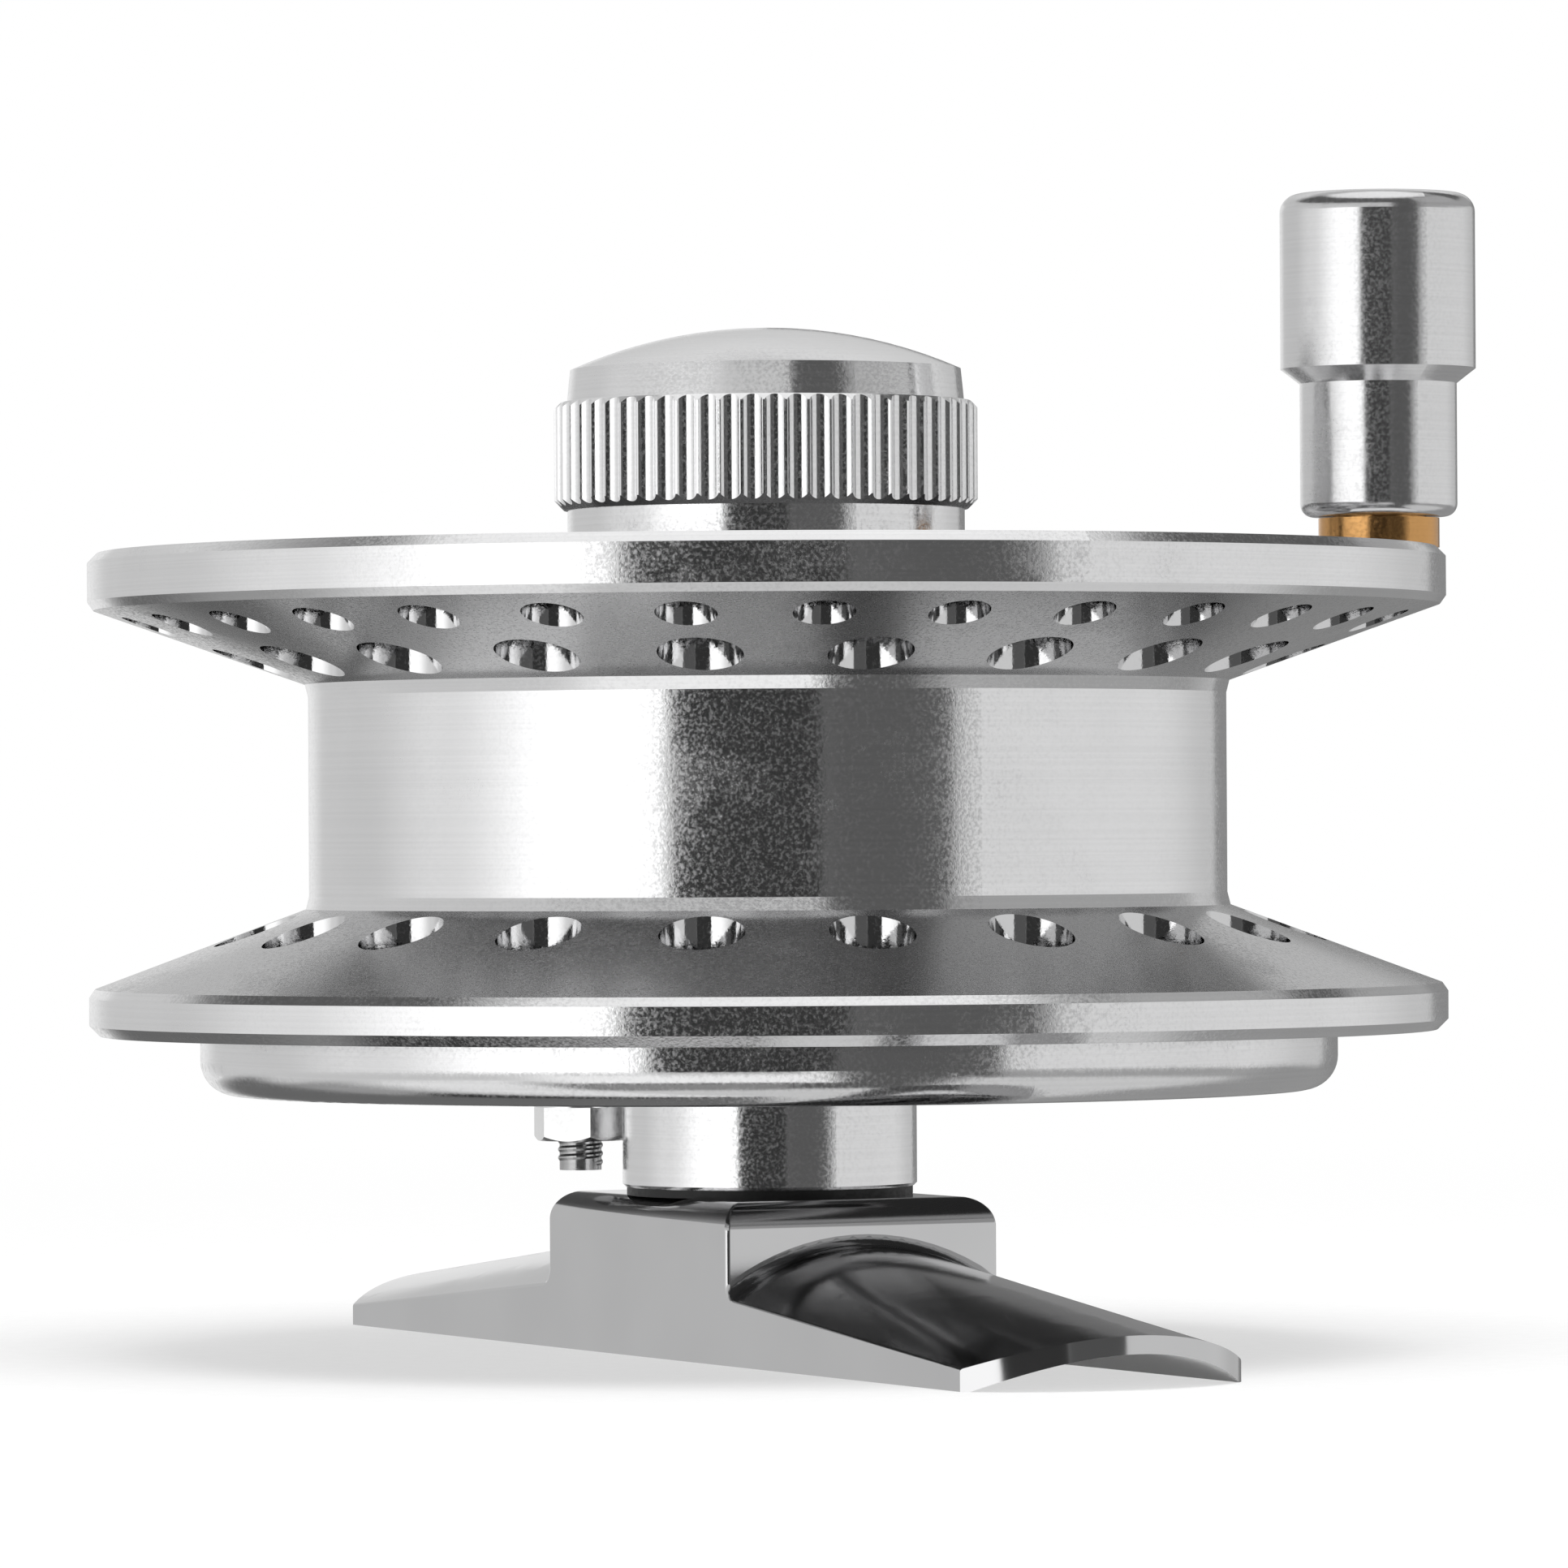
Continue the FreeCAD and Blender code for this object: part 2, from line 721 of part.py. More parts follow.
def build_stem():
    """Round stem with its black washer; screws enter it from both ends."""
    washer = ring("stem_washer", "0", "stem_washer_radius", "foot_top", "stem_bottom")
    stem = new_body("stem")
    revolve(stem, rectangle("0", "stem_radius", "stem_bottom", "plate_bottom"))
    bevel_ring(stem, "stem_radius", "stem_bottom", "stem_edge")
    cut_cylinder(stem, "spindle_radius", "0", "0", "spindle_bottom", "plate_bottom")
    for side in ("foot_screw_distance", "0 - foot_screw_distance"):
        cut_cylinder(washer, "foot_screw_hole_radius", side, "0", "foot_top", "stem_bottom")
        cut_cylinder(stem, "foot_screw_radius", side, "0", "stem_bottom", "foot_hole_end")
    for side in ("plate_screw_distance", "0 - plate_screw_distance"):
        cut_cylinder(stem, "plate_screw_radius", "0", side, "plate_hole_end", "plate_bottom")


def build_back_plate():
    """Back plate: a shallow dish with a post for the pawl."""
    body = new_body("back_plate")
    corners = [
        ("spindle_radius", "plate_bottom"),
        ("plate_radius", "plate_bottom"),
        ("plate_radius", "plate_top"),
        ("plate_radius - plate_rim_width", "plate_top"),
        ("plate_radius - plate_rim_width", "plate_floor"),
        ("spindle_radius", "plate_floor"),
    ]
    revolve(body, corners)
    round_ring(body, "plate_radius", "plate_bottom", "plate_rounding")
    bevel_ring(body, "plate_radius", "plate_top", "plate_edge")
    for side in ("plate_screw_distance", "0 - plate_screw_distance"):
        cut_cylinder(body, "plate_screw_radius", "0", side, "plate_bottom", "plate_screw_cone_bottom")
        radii = ("plate_screw_radius", "plate_screw_head_radius")
        cut_cone(body, radii, "0", side, "plate_screw_cone_bottom", "plate_floor")
    primitive(
        body,
        "AdditiveCylinder",
        {"Radius": "pawl_post_radius", "Height": "pawl_seat - plate_floor"},
        ("0", "0", "plate_floor"),
        place_on_pivot,
    )
    primitive(
        body,
        "SubtractiveCylinder",
        {"Radius": "pawl_screw_radius", "Height": "pawl_seat - plate_bottom"},
        ("0", "0", "plate_bottom"),
        place_on_pivot,
    )
    primitive(
        body,
        "SubtractiveCylinder",
        {"Radius": "leaf_screw_radius", "Height": "plate_floor - leaf_screw_tip"},
        ("0", "0", "leaf_screw_tip"),
        place_on_leaf,
    )


def place_on_pivot(thing):
    """Moves a piece to the pawl's pivot."""
    place_round(thing, "pawl_pivot_radius", "pawl_pivot_angle")


def place_on_handle(thing):
    """Moves a piece to the handle's axis."""
    place_round(thing, "rim_radius - handle_rim_distance", "handle_angle")


def place_on_handle_hole(thing):
    """Moves a piece to the small flange hole nearest the handle."""
    place_round(thing, "rim_radius - outer_hole_rim_distance", "handle_angle")


def place_beside_pivot(thing, reach, along):
    """Moves a piece out past the pawl's pivot and along the leaf spring."""
    out = f"({bound(reach)})"
    side = f"({bound(along)})"
    turn = "Sizes.pawl_pivot_angle * 1 deg"
    thing.setExpression("Placement.Base.x", f"{out} * cos({turn}) - {side} * sin({turn})")
    thing.setExpression("Placement.Base.y", f"{out} * sin({turn}) + {side} * cos({turn})")


def place_on_leaf(thing):
    """Moves a piece to the leaf spring's screw."""
    place_beside_pivot(thing, LEAF_FACE + " + leaf_screw_across", "leaf_screw_along")


def flat_head_screw(label, thread, head, tip, neck, face, side):
    """Countersunk screw with its slot; it points from its face towards its tip."""
    body = new_body(label)
    revolve(body, [("0", tip), (thread, tip), (thread, neck), (head, face), ("0", face)])
    if value_of(face) > value_of(tip):
        cut_slot(body, head, f"{face} - slot_depth")
    else:
        cut_slot(body, head, face)
    for axis, formula in side.items():
        bind(body, f"Placement.Base.{axis}", formula)
    return body


def cheese_head_screw(label, thread, head, levels):
    """Round-headed screw along +Z with its slot; levels are tip, head bottom and head top."""
    tip, under, top = levels
    body = new_body(label)
    corners = [("0", tip), (thread, tip), (thread, under), (head, under), (head, top), ("0", top)]
    revolve(body, corners)
    cut_slot(body, head, f"{top} - slot_depth")
    return body


def build_foot_and_plate_screws():
    """Two screws up through the foot and two down through the plate, all into the stem."""
    names = ("foot_screw_near", "foot_screw_far")
    sides = ("foot_screw_distance", "0 - foot_screw_distance")
    for label, side in zip(names, sides):
        flat_head_screw(
            label, "foot_screw_radius", "foot_screw_head_radius",
            "foot_screw_tip", "foot_screw_cone_top", "foot_screw_head_level", {"x": side},
        )
    names = ("plate_screw_left", "plate_screw_right")
    sides = ("plate_screw_distance", "0 - plate_screw_distance")
    for label, side in zip(names, sides):
        flat_head_screw(
            label, "plate_screw_radius", "plate_screw_head_radius",
            "plate_screw_tip", "plate_screw_cone_bottom", "plate_floor", {"y": side},
        )


def build_spindle():
    """Fixed spindle: a shouldered shaft with two flats and a tapped end."""
    body = new_body("spindle")
    corners = [
        ("0", "spindle_bottom"),
        ("spindle_radius", "spindle_bottom"),
        ("spindle_radius", "plate_floor"),
        ("spindle_flange_radius", "plate_floor"),
        ("spindle_flange_radius", "spindle_flange_top"),
        ("spindle_shoulder_radius", "spindle_flange_top"),
        ("spindle_shoulder_radius", "rear_bearing_bottom"),
        ("spindle_radius", "rear_bearing_bottom"),
        ("spindle_radius", "spindle_top"),
        ("0", "spindle_top"),
    ]
    revolve(body, corners)
    sizes = {
        "Length": "spindle_radius + spindle_radius",
        "Width": "spindle_radius",
        "Height": "spindle_flat_top - spindle_flat_bottom",
    }
    for depth in ("spindle_flat_offset", "0 - spindle_flat_offset - spindle_radius"):
        primitive(body, "SubtractiveBox", sizes, ("0 - spindle_radius", depth, "spindle_flat_bottom"))
    cut_cylinder(body, "stop_screw_radius", "0", "0", "stop_hole_end", "spindle_top")


def build_bearing(prefix):
    """Ball bearing: two grooved races, balls in a cage and two shields."""
    bottom = prefix + "_bearing_bottom"
    top = prefix + "_bearing_top"
    middle = (value_of(bottom) + value_of(top)) / 2
    inner = ring(prefix + "_bearing_inner_race", "spindle_radius", "inner_race_radius", bottom, top)
    outer = ring(prefix + "_bearing_outer_race", "outer_race_inner_radius", "bearing_radius", bottom, top)
    for race in (inner, outer):
        groove = race.newObject("PartDesign::SubtractiveTorus", "ball_groove")
        bind(groove, "Radius1", "ball_circle_radius")
        bind(groove, "Radius2", "race_groove_radius")
        groove.setExpression("Placement.Base.z", f"(Sizes.{bottom} + Sizes.{top}) / 2")
        document.recompute()
    cage = new_body(prefix + "_bearing_cage")
    half = "cage_half_height"
    corners = rectangle("cage_inner_radius", "cage_outer_radius", f"0 - {half}", half)
    revolve(cage, corners)
    pocket = primitive(
        cage,
        "SubtractiveCylinder",
        {"Radius": "cage_pocket_radius", "Height": "cage_outer_radius"},
        ("slot_depth", "0", "0"),
        lie_along_x,
    )
    repeat_round(cage, pocket, "ball_count")
    cage.setExpression("Placement.Base.z", f"(Sizes.{bottom} + Sizes.{top}) / 2")
    balls = []
    for index in range(int(size("ball_count"))):
        ball = Part.makeSphere(size("ball_radius"))
        angle = 2 * math.pi * index / size("ball_count")
        reach = size("ball_circle_radius")
        ball.translate(FreeCAD.Vector(reach * math.cos(angle), reach * math.sin(angle), middle))
        balls.append(ball)
    set_of_balls = document.addObject("Part::Feature", prefix + "_balls")
    set_of_balls.Shape = Part.makeCompound(balls)
    keep(set_of_balls, prefix + "_bearing_balls")
    build_shield(prefix + "_bearing_lower_shield", f"{bottom} + shield_inset")
    build_shield(prefix + "_bearing_upper_shield", f"{top} - shield_inset - shield_thickness")


def build_shield(label, level):
    """Thin ring that closes a bearing's gap."""
    body = ring(
        label, "shield_inner_radius", "outer_race_inner_radius", level, f"{level} + shield_thickness"
    )
    return body


def build_spool():
    """Spool: two flanges and a hollow arbor carried by a web and a hub."""
    body = new_body("spool")
    corners = [
        ("rim_radius - lower_lip_width", "spool_bottom"),
        ("rim_radius", "spool_bottom"),
        ("rim_radius", "lower_rim_top"),
        (f"{ARBOR} + arbor_flare", "arbor_bottom"),
        (ARBOR, "arbor_bottom + arbor_flare_height"),
        (ARBOR, "arbor_top - arbor_flare_height"),
        (f"{ARBOR} + arbor_flare", "arbor_top"),
        ("rim_radius", "upper_rim_bottom"),
        ("rim_radius", "spool_top"),
        ("rim_radius - rim_face_width", "spool_top"),
        ("rim_radius - rim_face_width", "dish_rim_level"),
        (ARBOR, "web_top"),
        ("hub_boss_radius", "web_top"),
        ("hub_boss_radius", "hub_top"),
        ("drag_pocket_radius", "hub_top"),
        ("drag_pocket_radius", "drag_pocket_floor"),
        ("bearing_radius", "drag_pocket_floor"),
        ("bearing_radius", "front_bearing_bottom"),
        ("hub_shoulder_radius", "front_bearing_bottom"),
        ("hub_shoulder_radius", "rear_bearing_top"),
        ("bearing_radius", "rear_bearing_top"),
        ("bearing_radius", "hub_bottom"),
        ("hub_radius", "hub_bottom"),
        ("hub_radius", "web_bottom"),
        (DRUM_BORE, "web_bottom"),
        (DRUM_BORE, "drum_hollow_bottom"),
        ("rim_radius - lower_lip_width", "lower_lip_top"),
    ]
    revolve(body, corners)
    bevel_ring(body, "rim_radius", "spool_bottom", "lower_rim_bevel")
    bevel_ring(body, "rim_radius", "spool_top", "upper_rim_bevel")
    bevel_ring(body, "rim_radius", "lower_rim_top", "rim_edge")
    bevel_ring(body, "rim_radius", "upper_rim_bottom", "rim_edge")
    round_ring(body, "hub_radius", "web_bottom", "hub_fillet")
    round_ring(body, "hub_boss_radius", "web_top", "hub_fillet")
    round_hole_row(
        body, "spool_bottom",
        "rim_radius - rim_face_width - inner_hole_dish_distance", "inner_hole_radius",
        "inner_hole_count", "handle_angle + inner_hole_offset_angle",
    )
    round_hole_row(
        body, "arbor_top", "rim_radius - outer_hole_rim_distance", "outer_hole_radius",
        "outer_hole_count", "handle_angle",
    )
    round_hole_row(
        body, "spool_bottom", "web_hole_circle_radius", "web_hole_radius",
        "web_hole_count", "handle_angle",
    )


def build_click_wheel():
    """Toothed click wheel pressed on the rear end of the hub."""
    body = ring("click_wheel", "hub_radius", "wheel_tip_radius", "hub_bottom", "wheel_top")
    notch = raised_sketch(body, "hub_bottom")
    corners = [
        ("wheel_root_radius", "0 - notch_root_half"),
        ("notch_mouth_radius", "0 - notch_mouth_half"),
        ("notch_mouth_radius", "notch_mouth_half"),
        ("wheel_root_radius", "notch_root_half"),
    ]
    draw_outline(notch, corners)
    repeat_round(body, pocket_upward(body, notch), "tooth_count")
    turn_about_axis(body, "pawl_tooth_angle")


def primitive_piece(kind, name, sizes, base=None):
    """A plain Part solid whose sizes and place are named."""
    thing = document.addObject("Part::" + kind, name)
    for prop, formula in sizes.items():
        bind(thing, prop, formula)
    for axis, formula in (base or {}).items():
        bind(thing, f"Placement.Base.{axis}", formula)
    return thing


def subtract(name, base, tool):
    """One solid less another."""
    result = document.addObject("Part::Cut", name)
    result.Base = base
    result.Tool = tool
    return result


def fuse(name, pieces):
    """Several solids joined into one."""
    result = document.addObject("Part::MultiFuse", name)
    result.Shapes = pieces
    return result


def build_pawl():
    """Click pawl: an arc-shaped arm with a pointed tooth, turning on a post."""
    height = "pawl_top - pawl_bottom"
    level = {"z": "pawl_bottom"}
    arm_sizes = {"Radius": "pawl_arm_outer", "Height": height, "Angle": "pawl_arm_angle"}
    arm_outside = primitive_piece("Cylinder", "pawl_arm_outside", arm_sizes, level)
    arm_sizes["Radius"] = "pawl_arm_inner"
    arm_inside = primitive_piece("Cylinder", "pawl_arm_inside", arm_sizes, level)
    turn_about_axis(arm_outside, "pawl_pivot_angle")
    turn_about_axis(arm_inside, "pawl_pivot_angle")
    arm = subtract("pawl_arm", arm_outside, arm_inside)
    boss_sizes = {"Radius": "pawl_boss_radius", "Height": height}
    round_boss = primitive_piece("Cylinder", "pawl_round_boss", boss_sizes, level)
    place_on_pivot(round_boss)
    flat = leaf_box("pawl_flat", PAWL_FLAT_BOUNDS)
    boss = subtract("pawl_boss", round_boss, flat)
    tooth_sizes = {"Polygon": "pawl_tooth_corners", "Circumradius": "pawl_tooth_size", "Height": height}
    tooth = primitive_piece("Prism", "pawl_tooth", tooth_sizes, level)
    turn = "Sizes.pawl_tooth_angle * 1 deg"
    reach = "(Sizes.pawl_tooth_tip + Sizes.pawl_tooth_size)"
    tooth.setExpression("Placement.Base.x", f"{reach} * cos({turn})")
    tooth.setExpression("Placement.Base.y", f"{reach} * sin({turn})")
    turn_about_axis(tooth, "pawl_tooth_angle + half_turn_angle")
    lever = fuse("pawl_lever", [arm, boss, tooth])
    hole_sizes = {"Radius": "pawl_hole_radius", "Height": height}
    hole = primitive_piece("Cylinder", "pawl_hole", hole_sizes, level)
    place_on_pivot(hole)
    keep(subtract("pawl", lever, hole), "click_pawl")


def build_pawl_fixings():
    """Pivot screw of the pawl with its washers and nut under the plate."""
    levels = ("pawl_screw_tip", "pawl_screw_head_bottom", "pawl_screw_head_top")
    screw = cheese_head_screw("pawl_screw", "pawl_screw_radius", "pawl_screw_head_radius", levels)
    washer = ring(
        "pawl_washer", "pawl_screw_radius", "pawl_washer_radius", "pawl_washer_bottom", "plate_bottom"
    )
    lock = ring(
        "pawl_lock_washer", "pawl_screw_radius", "lock_washer_radius", "nut_top", "pawl_washer_bottom"
    )
    for piece in (screw, washer, lock):
        place_on_pivot(piece)
    height = "nut_top - nut_bottom"
    level = {"z": "nut_bottom"}
    prism_sizes = {"Polygon": "nut_sides", "Circumradius": "nut_corner_radius", "Height": height}
    prism = primitive_piece("Prism", "nut_prism", prism_sizes, level)
    cone_sizes = {
        "Radius1": "nut_chamfer_radius",
        "Radius2": "nut_chamfer_radius + nut_corner_radius",
        "Height": height,
    }
    cone = primitive_piece("Cone", "nut_cone", cone_sizes, level)
    chamfered = document.addObject("Part::Common", "nut_chamfered")
    chamfered.Base = prism
    chamfered.Tool = cone
    bore_sizes = {"Radius": "pawl_screw_radius", "Height": height}
    bore = primitive_piece("Cylinder", "nut_bore", bore_sizes, level)
    for piece in (prism, cone, bore):
        place_on_pivot(piece)
    turn_about_axis(prism, "nut_turn_angle")
    keep(subtract("nut", chamfered, bore), "pawl_nut")


def leaf_box(name, bounds):
    """Box given by bounds along, across and up, square to the leaf spring."""
    along, across, up = bounds
    sizes = {"Length": span(across), "Width": span(along), "Height": span(up)}
    box = primitive_piece("Box", name, sizes, {"z": up[0]})
    place_beside_pivot(box, across[0], along[0])
    turn_about_axis(box, "pawl_pivot_angle")
    return box


def build_leaf_spring():
    """Leaf spring of the pawl: an upright blade on a screwed tab."""
    near = LEAF_FACE
    blade_bounds = (
        ("leaf_start", "leaf_end"),
        (near, near + " + leaf_thickness"),
        ("plate_floor", "leaf_top"),
    )
    blade = leaf_box("leaf_blade", blade_bounds)
    relief_bounds = (
        ("leaf_start", "leaf_tab_start"),
        (near, near + " + leaf_thickness"),
        ("plate_floor", "leaf_tab_top"),
    )
    relief = leaf_box("leaf_relief", relief_bounds)
    tab_bounds = (
        ("leaf_tab_start", "leaf_end"),
        (near, near + " + leaf_tab_width"),
        ("plate_floor", "leaf_tab_top"),
    )
    tab = leaf_box("leaf_tab", tab_bounds)
    bent = fuse("leaf_bent", [subtract("leaf_free_blade", blade, relief), tab])
    hole_sizes = {"Radius": "leaf_screw_radius", "Height": "leaf_tab_top - plate_floor"}
    hole = primitive_piece("Cylinder", "leaf_hole_tool", hole_sizes, {"z": "plate_floor"})
    place_on_leaf(hole)
    keep(subtract("leaf", bent, hole), "pawl_leaf_spring")
    levels = ("leaf_screw_tip", "leaf_tab_top", "leaf_screw_head_top")
    screw = cheese_head_screw("leaf_screw", "leaf_screw_radius", "leaf_screw_head_radius", levels)
    place_on_leaf(screw)


def build_drag_stack():
    """Spacers, friction washer, keyed washer, disc springs and thrust washer."""
    ring("bearing_spacer", "spindle_radius", "spacer_radius", "rear_bearing_top", "front_bearing_bottom")
    ring("bearing_collar", "spindle_radius", "spacer_radius", "front_bearing_top", "key_washer_bottom")
    ring(
        "friction_washer", "friction_washer_inner", "friction_washer_radius",
        "drag_pocket_floor", "friction_washer_top",
    )
    build_key_washer()
    for index in range(4):
        build_disc_spring(index)
    ring(
        "thrust_washer", "spindle_radius", "disc_spring_radius",
        "thrust_washer_bottom", "thrust_washer_top",
    )


def build_key_washer():
    """Steel washer whose hole has two flats that sit on the spindle's flats."""
    body = new_body("key_washer")
    revolve(body, rectangle("0", "key_washer_radius", "key_washer_bottom", "key_washer_top"))
    sketch = raised_sketch(body, "key_washer_bottom")
    reach = size("spindle_radius")
    flat = size("spindle_flat_offset")
    tilt = math.asin(flat / reach)
    up = FreeCAD.Vector(0, 0, 1)
    circle = Part.Circle(FreeCAD.Vector(0, 0, 0), up, reach)
    right = sketch.addGeometry(Part.ArcOfCircle(circle, -tilt, tilt), False)
    left = sketch.addGeometry(Part.ArcOfCircle(circle, math.pi - tilt, math.pi + tilt), False)
    width = reach * math.cos(tilt)
    high_right = FreeCAD.Vector(width, flat, 0)
    high_left = FreeCAD.Vector(-width, flat, 0)
    low_left = FreeCAD.Vector(-width, -flat, 0)
    low_right = FreeCAD.Vector(width, -flat, 0)
    above = sketch.addGeometry(Part.LineSegment(high_right, high_left), False)
    below = sketch.addGeometry(Part.LineSegment(low_left, low_right), False)
    joints = ((right, 2, above, 1), (above, 2, left, 1), (left, 2, below, 1), (below, 2, right, 1))
    for joint in joints:
        sketch.addConstraint(Sketcher.Constraint("Coincident", *joint))
    for arc in (right, left):
        sketch.addConstraint(Sketcher.Constraint("Coincident", arc, 3, -1, 1))
    sketch.addConstraint(Sketcher.Constraint("Horizontal", above))
    sketch.addConstraint(Sketcher.Constraint("Horizontal", below))
    values = (
        (Sketcher.Constraint("Radius", right, reach), "spindle_radius"),
        (Sketcher.Constraint("DistanceY", -1, 1, above, 1, flat), "spindle_flat_offset"),
        (Sketcher.Constraint("DistanceY", -1, 1, below, 1, -flat), "0 - spindle_flat_offset"),
    )
    for constraint, formula in values:
        index = sketch.addConstraint(constraint)
        sketch.setExpression(f"Constraints[{index}]", bound(formula))
    pocket_upward(body, sketch)


def build_disc_spring(index):
    """One coned disc spring; each lies the other way up from the one below it."""
    body = new_body(f"disc_spring_{index + 1}")
    low = "0"
    high = "disc_spring_cone"
    inner_level, outer_level = (high, low) if index % 2 == 0 else (low, high)
    thick = " + disc_spring_thickness"
    corners = [
        ("disc_spring_inner", inner_level),
        ("disc_spring_radius", outer_level),
        ("disc_spring_radius", outer_level + thick),
        ("disc_spring_inner", inner_level + thick),
    ]
    revolve(body, corners)
    level = f"Sizes.disc_spring_bottom + {index} * Sizes.disc_spring_pitch"
    body.setExpression("Placement.Base.z", level)


def build_drag_knob():
    """Drag knob: a fluted ring between two plain bands, threaded on the spindle."""
    body = new_body("drag_knob")
    corners = [
        ("skirt_inner_radius", "skirt_bottom"),
        ("knob_band_radius", "skirt_bottom"),
        ("knob_band_radius", "knurl_bottom"),
        ("knurl_radius", "knurl_bottom"),
        ("knurl_radius", "knurl_top"),
        ("knob_band_radius", "knurl_top"),
        ("knob_band_radius - knob_band_taper", "cap_seat"),
        ("cap_spigot_radius", "cap_seat"),
        ("cap_spigot_radius", "knob_bore_floor"),
        ("knob_thread_radius", "knob_bore_floor"),
        ("knob_thread_radius", "knob_ceiling"),
        ("skirt_inner_radius", "knob_ceiling"),
    ]
    revolve(body, corners)
    bevel_ring(body, "knurl_radius", "knurl_bottom", "knurl_lower_edge")
    bevel_ring(body, "knurl_radius", "knurl_top", "knurl_upper_edge")
    flute = raised_sketch(body, "knurl_bottom")
    draw_circle(flute, "flute_circle_radius", "0", "flute_radius")
    before = body.Shape.Volume
    pocket = body.newObject("PartDesign::Pocket", "flute")
    pocket.Profile = flute
    pocket.Reversed = True
    bind(pocket, "Length", "knurl_top - knurl_bottom")
    document.recompute()
    if body.Shape.Volume >= before:
        raise ValueError("drag_knob: a flute cut nothing")
    repeat_round(body, pocket, "flute_count")


def build_knob_cap():
    """Domed cap that closes the drag knob: a hollow plug cut by a large ball."""
    plug = document.addObject("PartDesign::Body", "cap_plug")
    corners = [
        ("0", "cap_hollow_top"),
        ("cap_hollow_radius", "cap_hollow_top"),
        ("cap_hollow_radius", "cap_spigot_bottom"),
        ("cap_spigot_radius", "cap_spigot_bottom"),
        ("cap_spigot_radius", "cap_seat"),
        ("knob_band_radius - knob_band_taper", "cap_seat"),
        ("knob_band_radius - knob_band_taper", "cap_top"),
        ("0", "cap_top"),
    ]
    revolve(plug, corners)
    ball = document.addObject("Part::Sphere", "cap_ball")
    reach = "(Sizes.knob_band_radius - Sizes.knob_band_taper)"
    rise = "(Sizes.cap_top - Sizes.cap_seat)"
    ball_radius = f"({reach} * {reach} + {rise} * {rise}) / (2 * {rise})"
    ball.setExpression("Radius", ball_radius)
    ball.setExpression("Placement.Base.z", f"Sizes.cap_top - {ball_radius}")
    dome = document.addObject("Part::Common", "cap_dome")
    dome.Base = plug
    dome.Tool = ball
    keep(dome, "knob_cap")


def build_knob_stop():
    """Washer and screw on the spindle's end that keep the drag knob on."""
    ring("stop_washer", "stop_screw_radius", "stop_washer_radius", "spindle_top", "stop_washer_top")
    levels = ("stop_screw_tip", "stop_washer_top", "stop_screw_head_top")
    cheese_head_screw("stop_screw", "stop_screw_radius", "stop_screw_head_radius", levels)


def build_handle():
    """Handle: a grip that turns on a flanged brass bush, held by a screw in the flange."""
    bush = new_body("handle_bush")
    corners = [
        ("handle_shank_radius", "spool_top"),
        ("bush_flange_radius", "spool_top"),
        ("bush_flange_radius", "bush_flange_top"),
        ("bush_sleeve_radius", "bush_flange_top"),
        ("bush_sleeve_radius", "handle_top - bush_depth"),
        ("handle_shank_radius", "handle_top - bush_depth"),
    ]
    revolve(bush, corners)
    screw = new_body("handle_screw")
    corners = [
        ("0", "handle_thread_tip"),
        ("handle_thread_radius", "handle_thread_tip"),
        ("handle_thread_radius", "spool_top"),
        ("handle_shank_radius", "spool_top"),
        ("handle_shank_radius", "handle_top - bush_depth"),
        ("handle_head_radius", "handle_top - bush_depth"),
        ("handle_head_radius", "handle_top - handle_head_depth"),
        ("0", "handle_top - handle_head_depth"),
    ]
    revolve(screw, corners)
    cut_slot(screw, "handle_head_radius", "handle_top - handle_head_depth - slot_depth")
    knob = new_body("handle_knob")
    corners = [
        ("handle_bore_radius", "handle_bottom"),
        ("handle_neck_radius", "handle_bottom"),
        ("handle_neck_radius", "handle_neck_top"),
        ("handle_grip_radius", "handle_cone_top"),
        ("handle_grip_radius", "handle_top"),
        ("handle_counterbore", "handle_top"),
        ("handle_counterbore", "handle_top - handle_shoulder_depth"),
        ("handle_bore_radius", "handle_top - handle_shoulder_depth"),
    ]
    revolve(knob, corners)
    round_ring(knob, "handle_neck_radius", "handle_bottom", "handle_bottom_rounding")
    round_ring(knob, "handle_grip_radius", "handle_top", "handle_top_edge")
    cap_bottom = "handle_top - handle_cap_thickness"
    cap = ring("handle_cap", "0", "handle_counterbore", cap_bottom, "handle_top")
    for piece in (bush, screw, knob, cap):
        place_on_handle(piece)


def drill_handle_hole():
    """Closes the small hole under the handle and drills its thread instead."""
    spool = next(piece for piece in SUBPARTS if piece.Label == "spool")
    primitive(
        spool,
        "AdditiveCylinder",
        {"Radius": "handle_boss_radius", "Height": "spool_top - upper_rim_bottom"},
        ("0", "0", "upper_rim_bottom"),
        place_on_handle_hole,
    )
    primitive(
        spool,
        "SubtractiveCylinder",
        {"Radius": "handle_thread_radius", "Height": "spool_top - arbor_top"},
        ("0", "0", "arbor_top"),
        place_on_handle,
    )


def check_everything():
    """Stops the build when an object failed or a sub-part isn't sound."""
    for thing in document.Objects:
        faults = [state for state in thing.State if state in ("Invalid", "Error")]
        if faults:
            raise ValueError(f"{thing.Name} ({thing.Label}) is {faults}")
    for thing in SUBPARTS:
        if thing.Shape.isNull() or not thing.Shape.isValid():
            raise ValueError(f"{thing.Label} has no sound shape")


def write_everything():
    """Writes each sub-part to a file of its own name."""
    os.makedirs("parts", exist_ok=True)
    for thing in SUBPARTS:
        thing.Shape.exportStep(os.path.join("parts", thing.Label + ".step"))
        box = thing.Shape.BoundBox
        print(
            f"{thing.Label:28s} solids {len(thing.Shape.Solids)} volume {thing.Shape.Volume:9.2f}"
            f"  z {box.ZMin:.2f} to {box.ZMax:.2f}"
        )


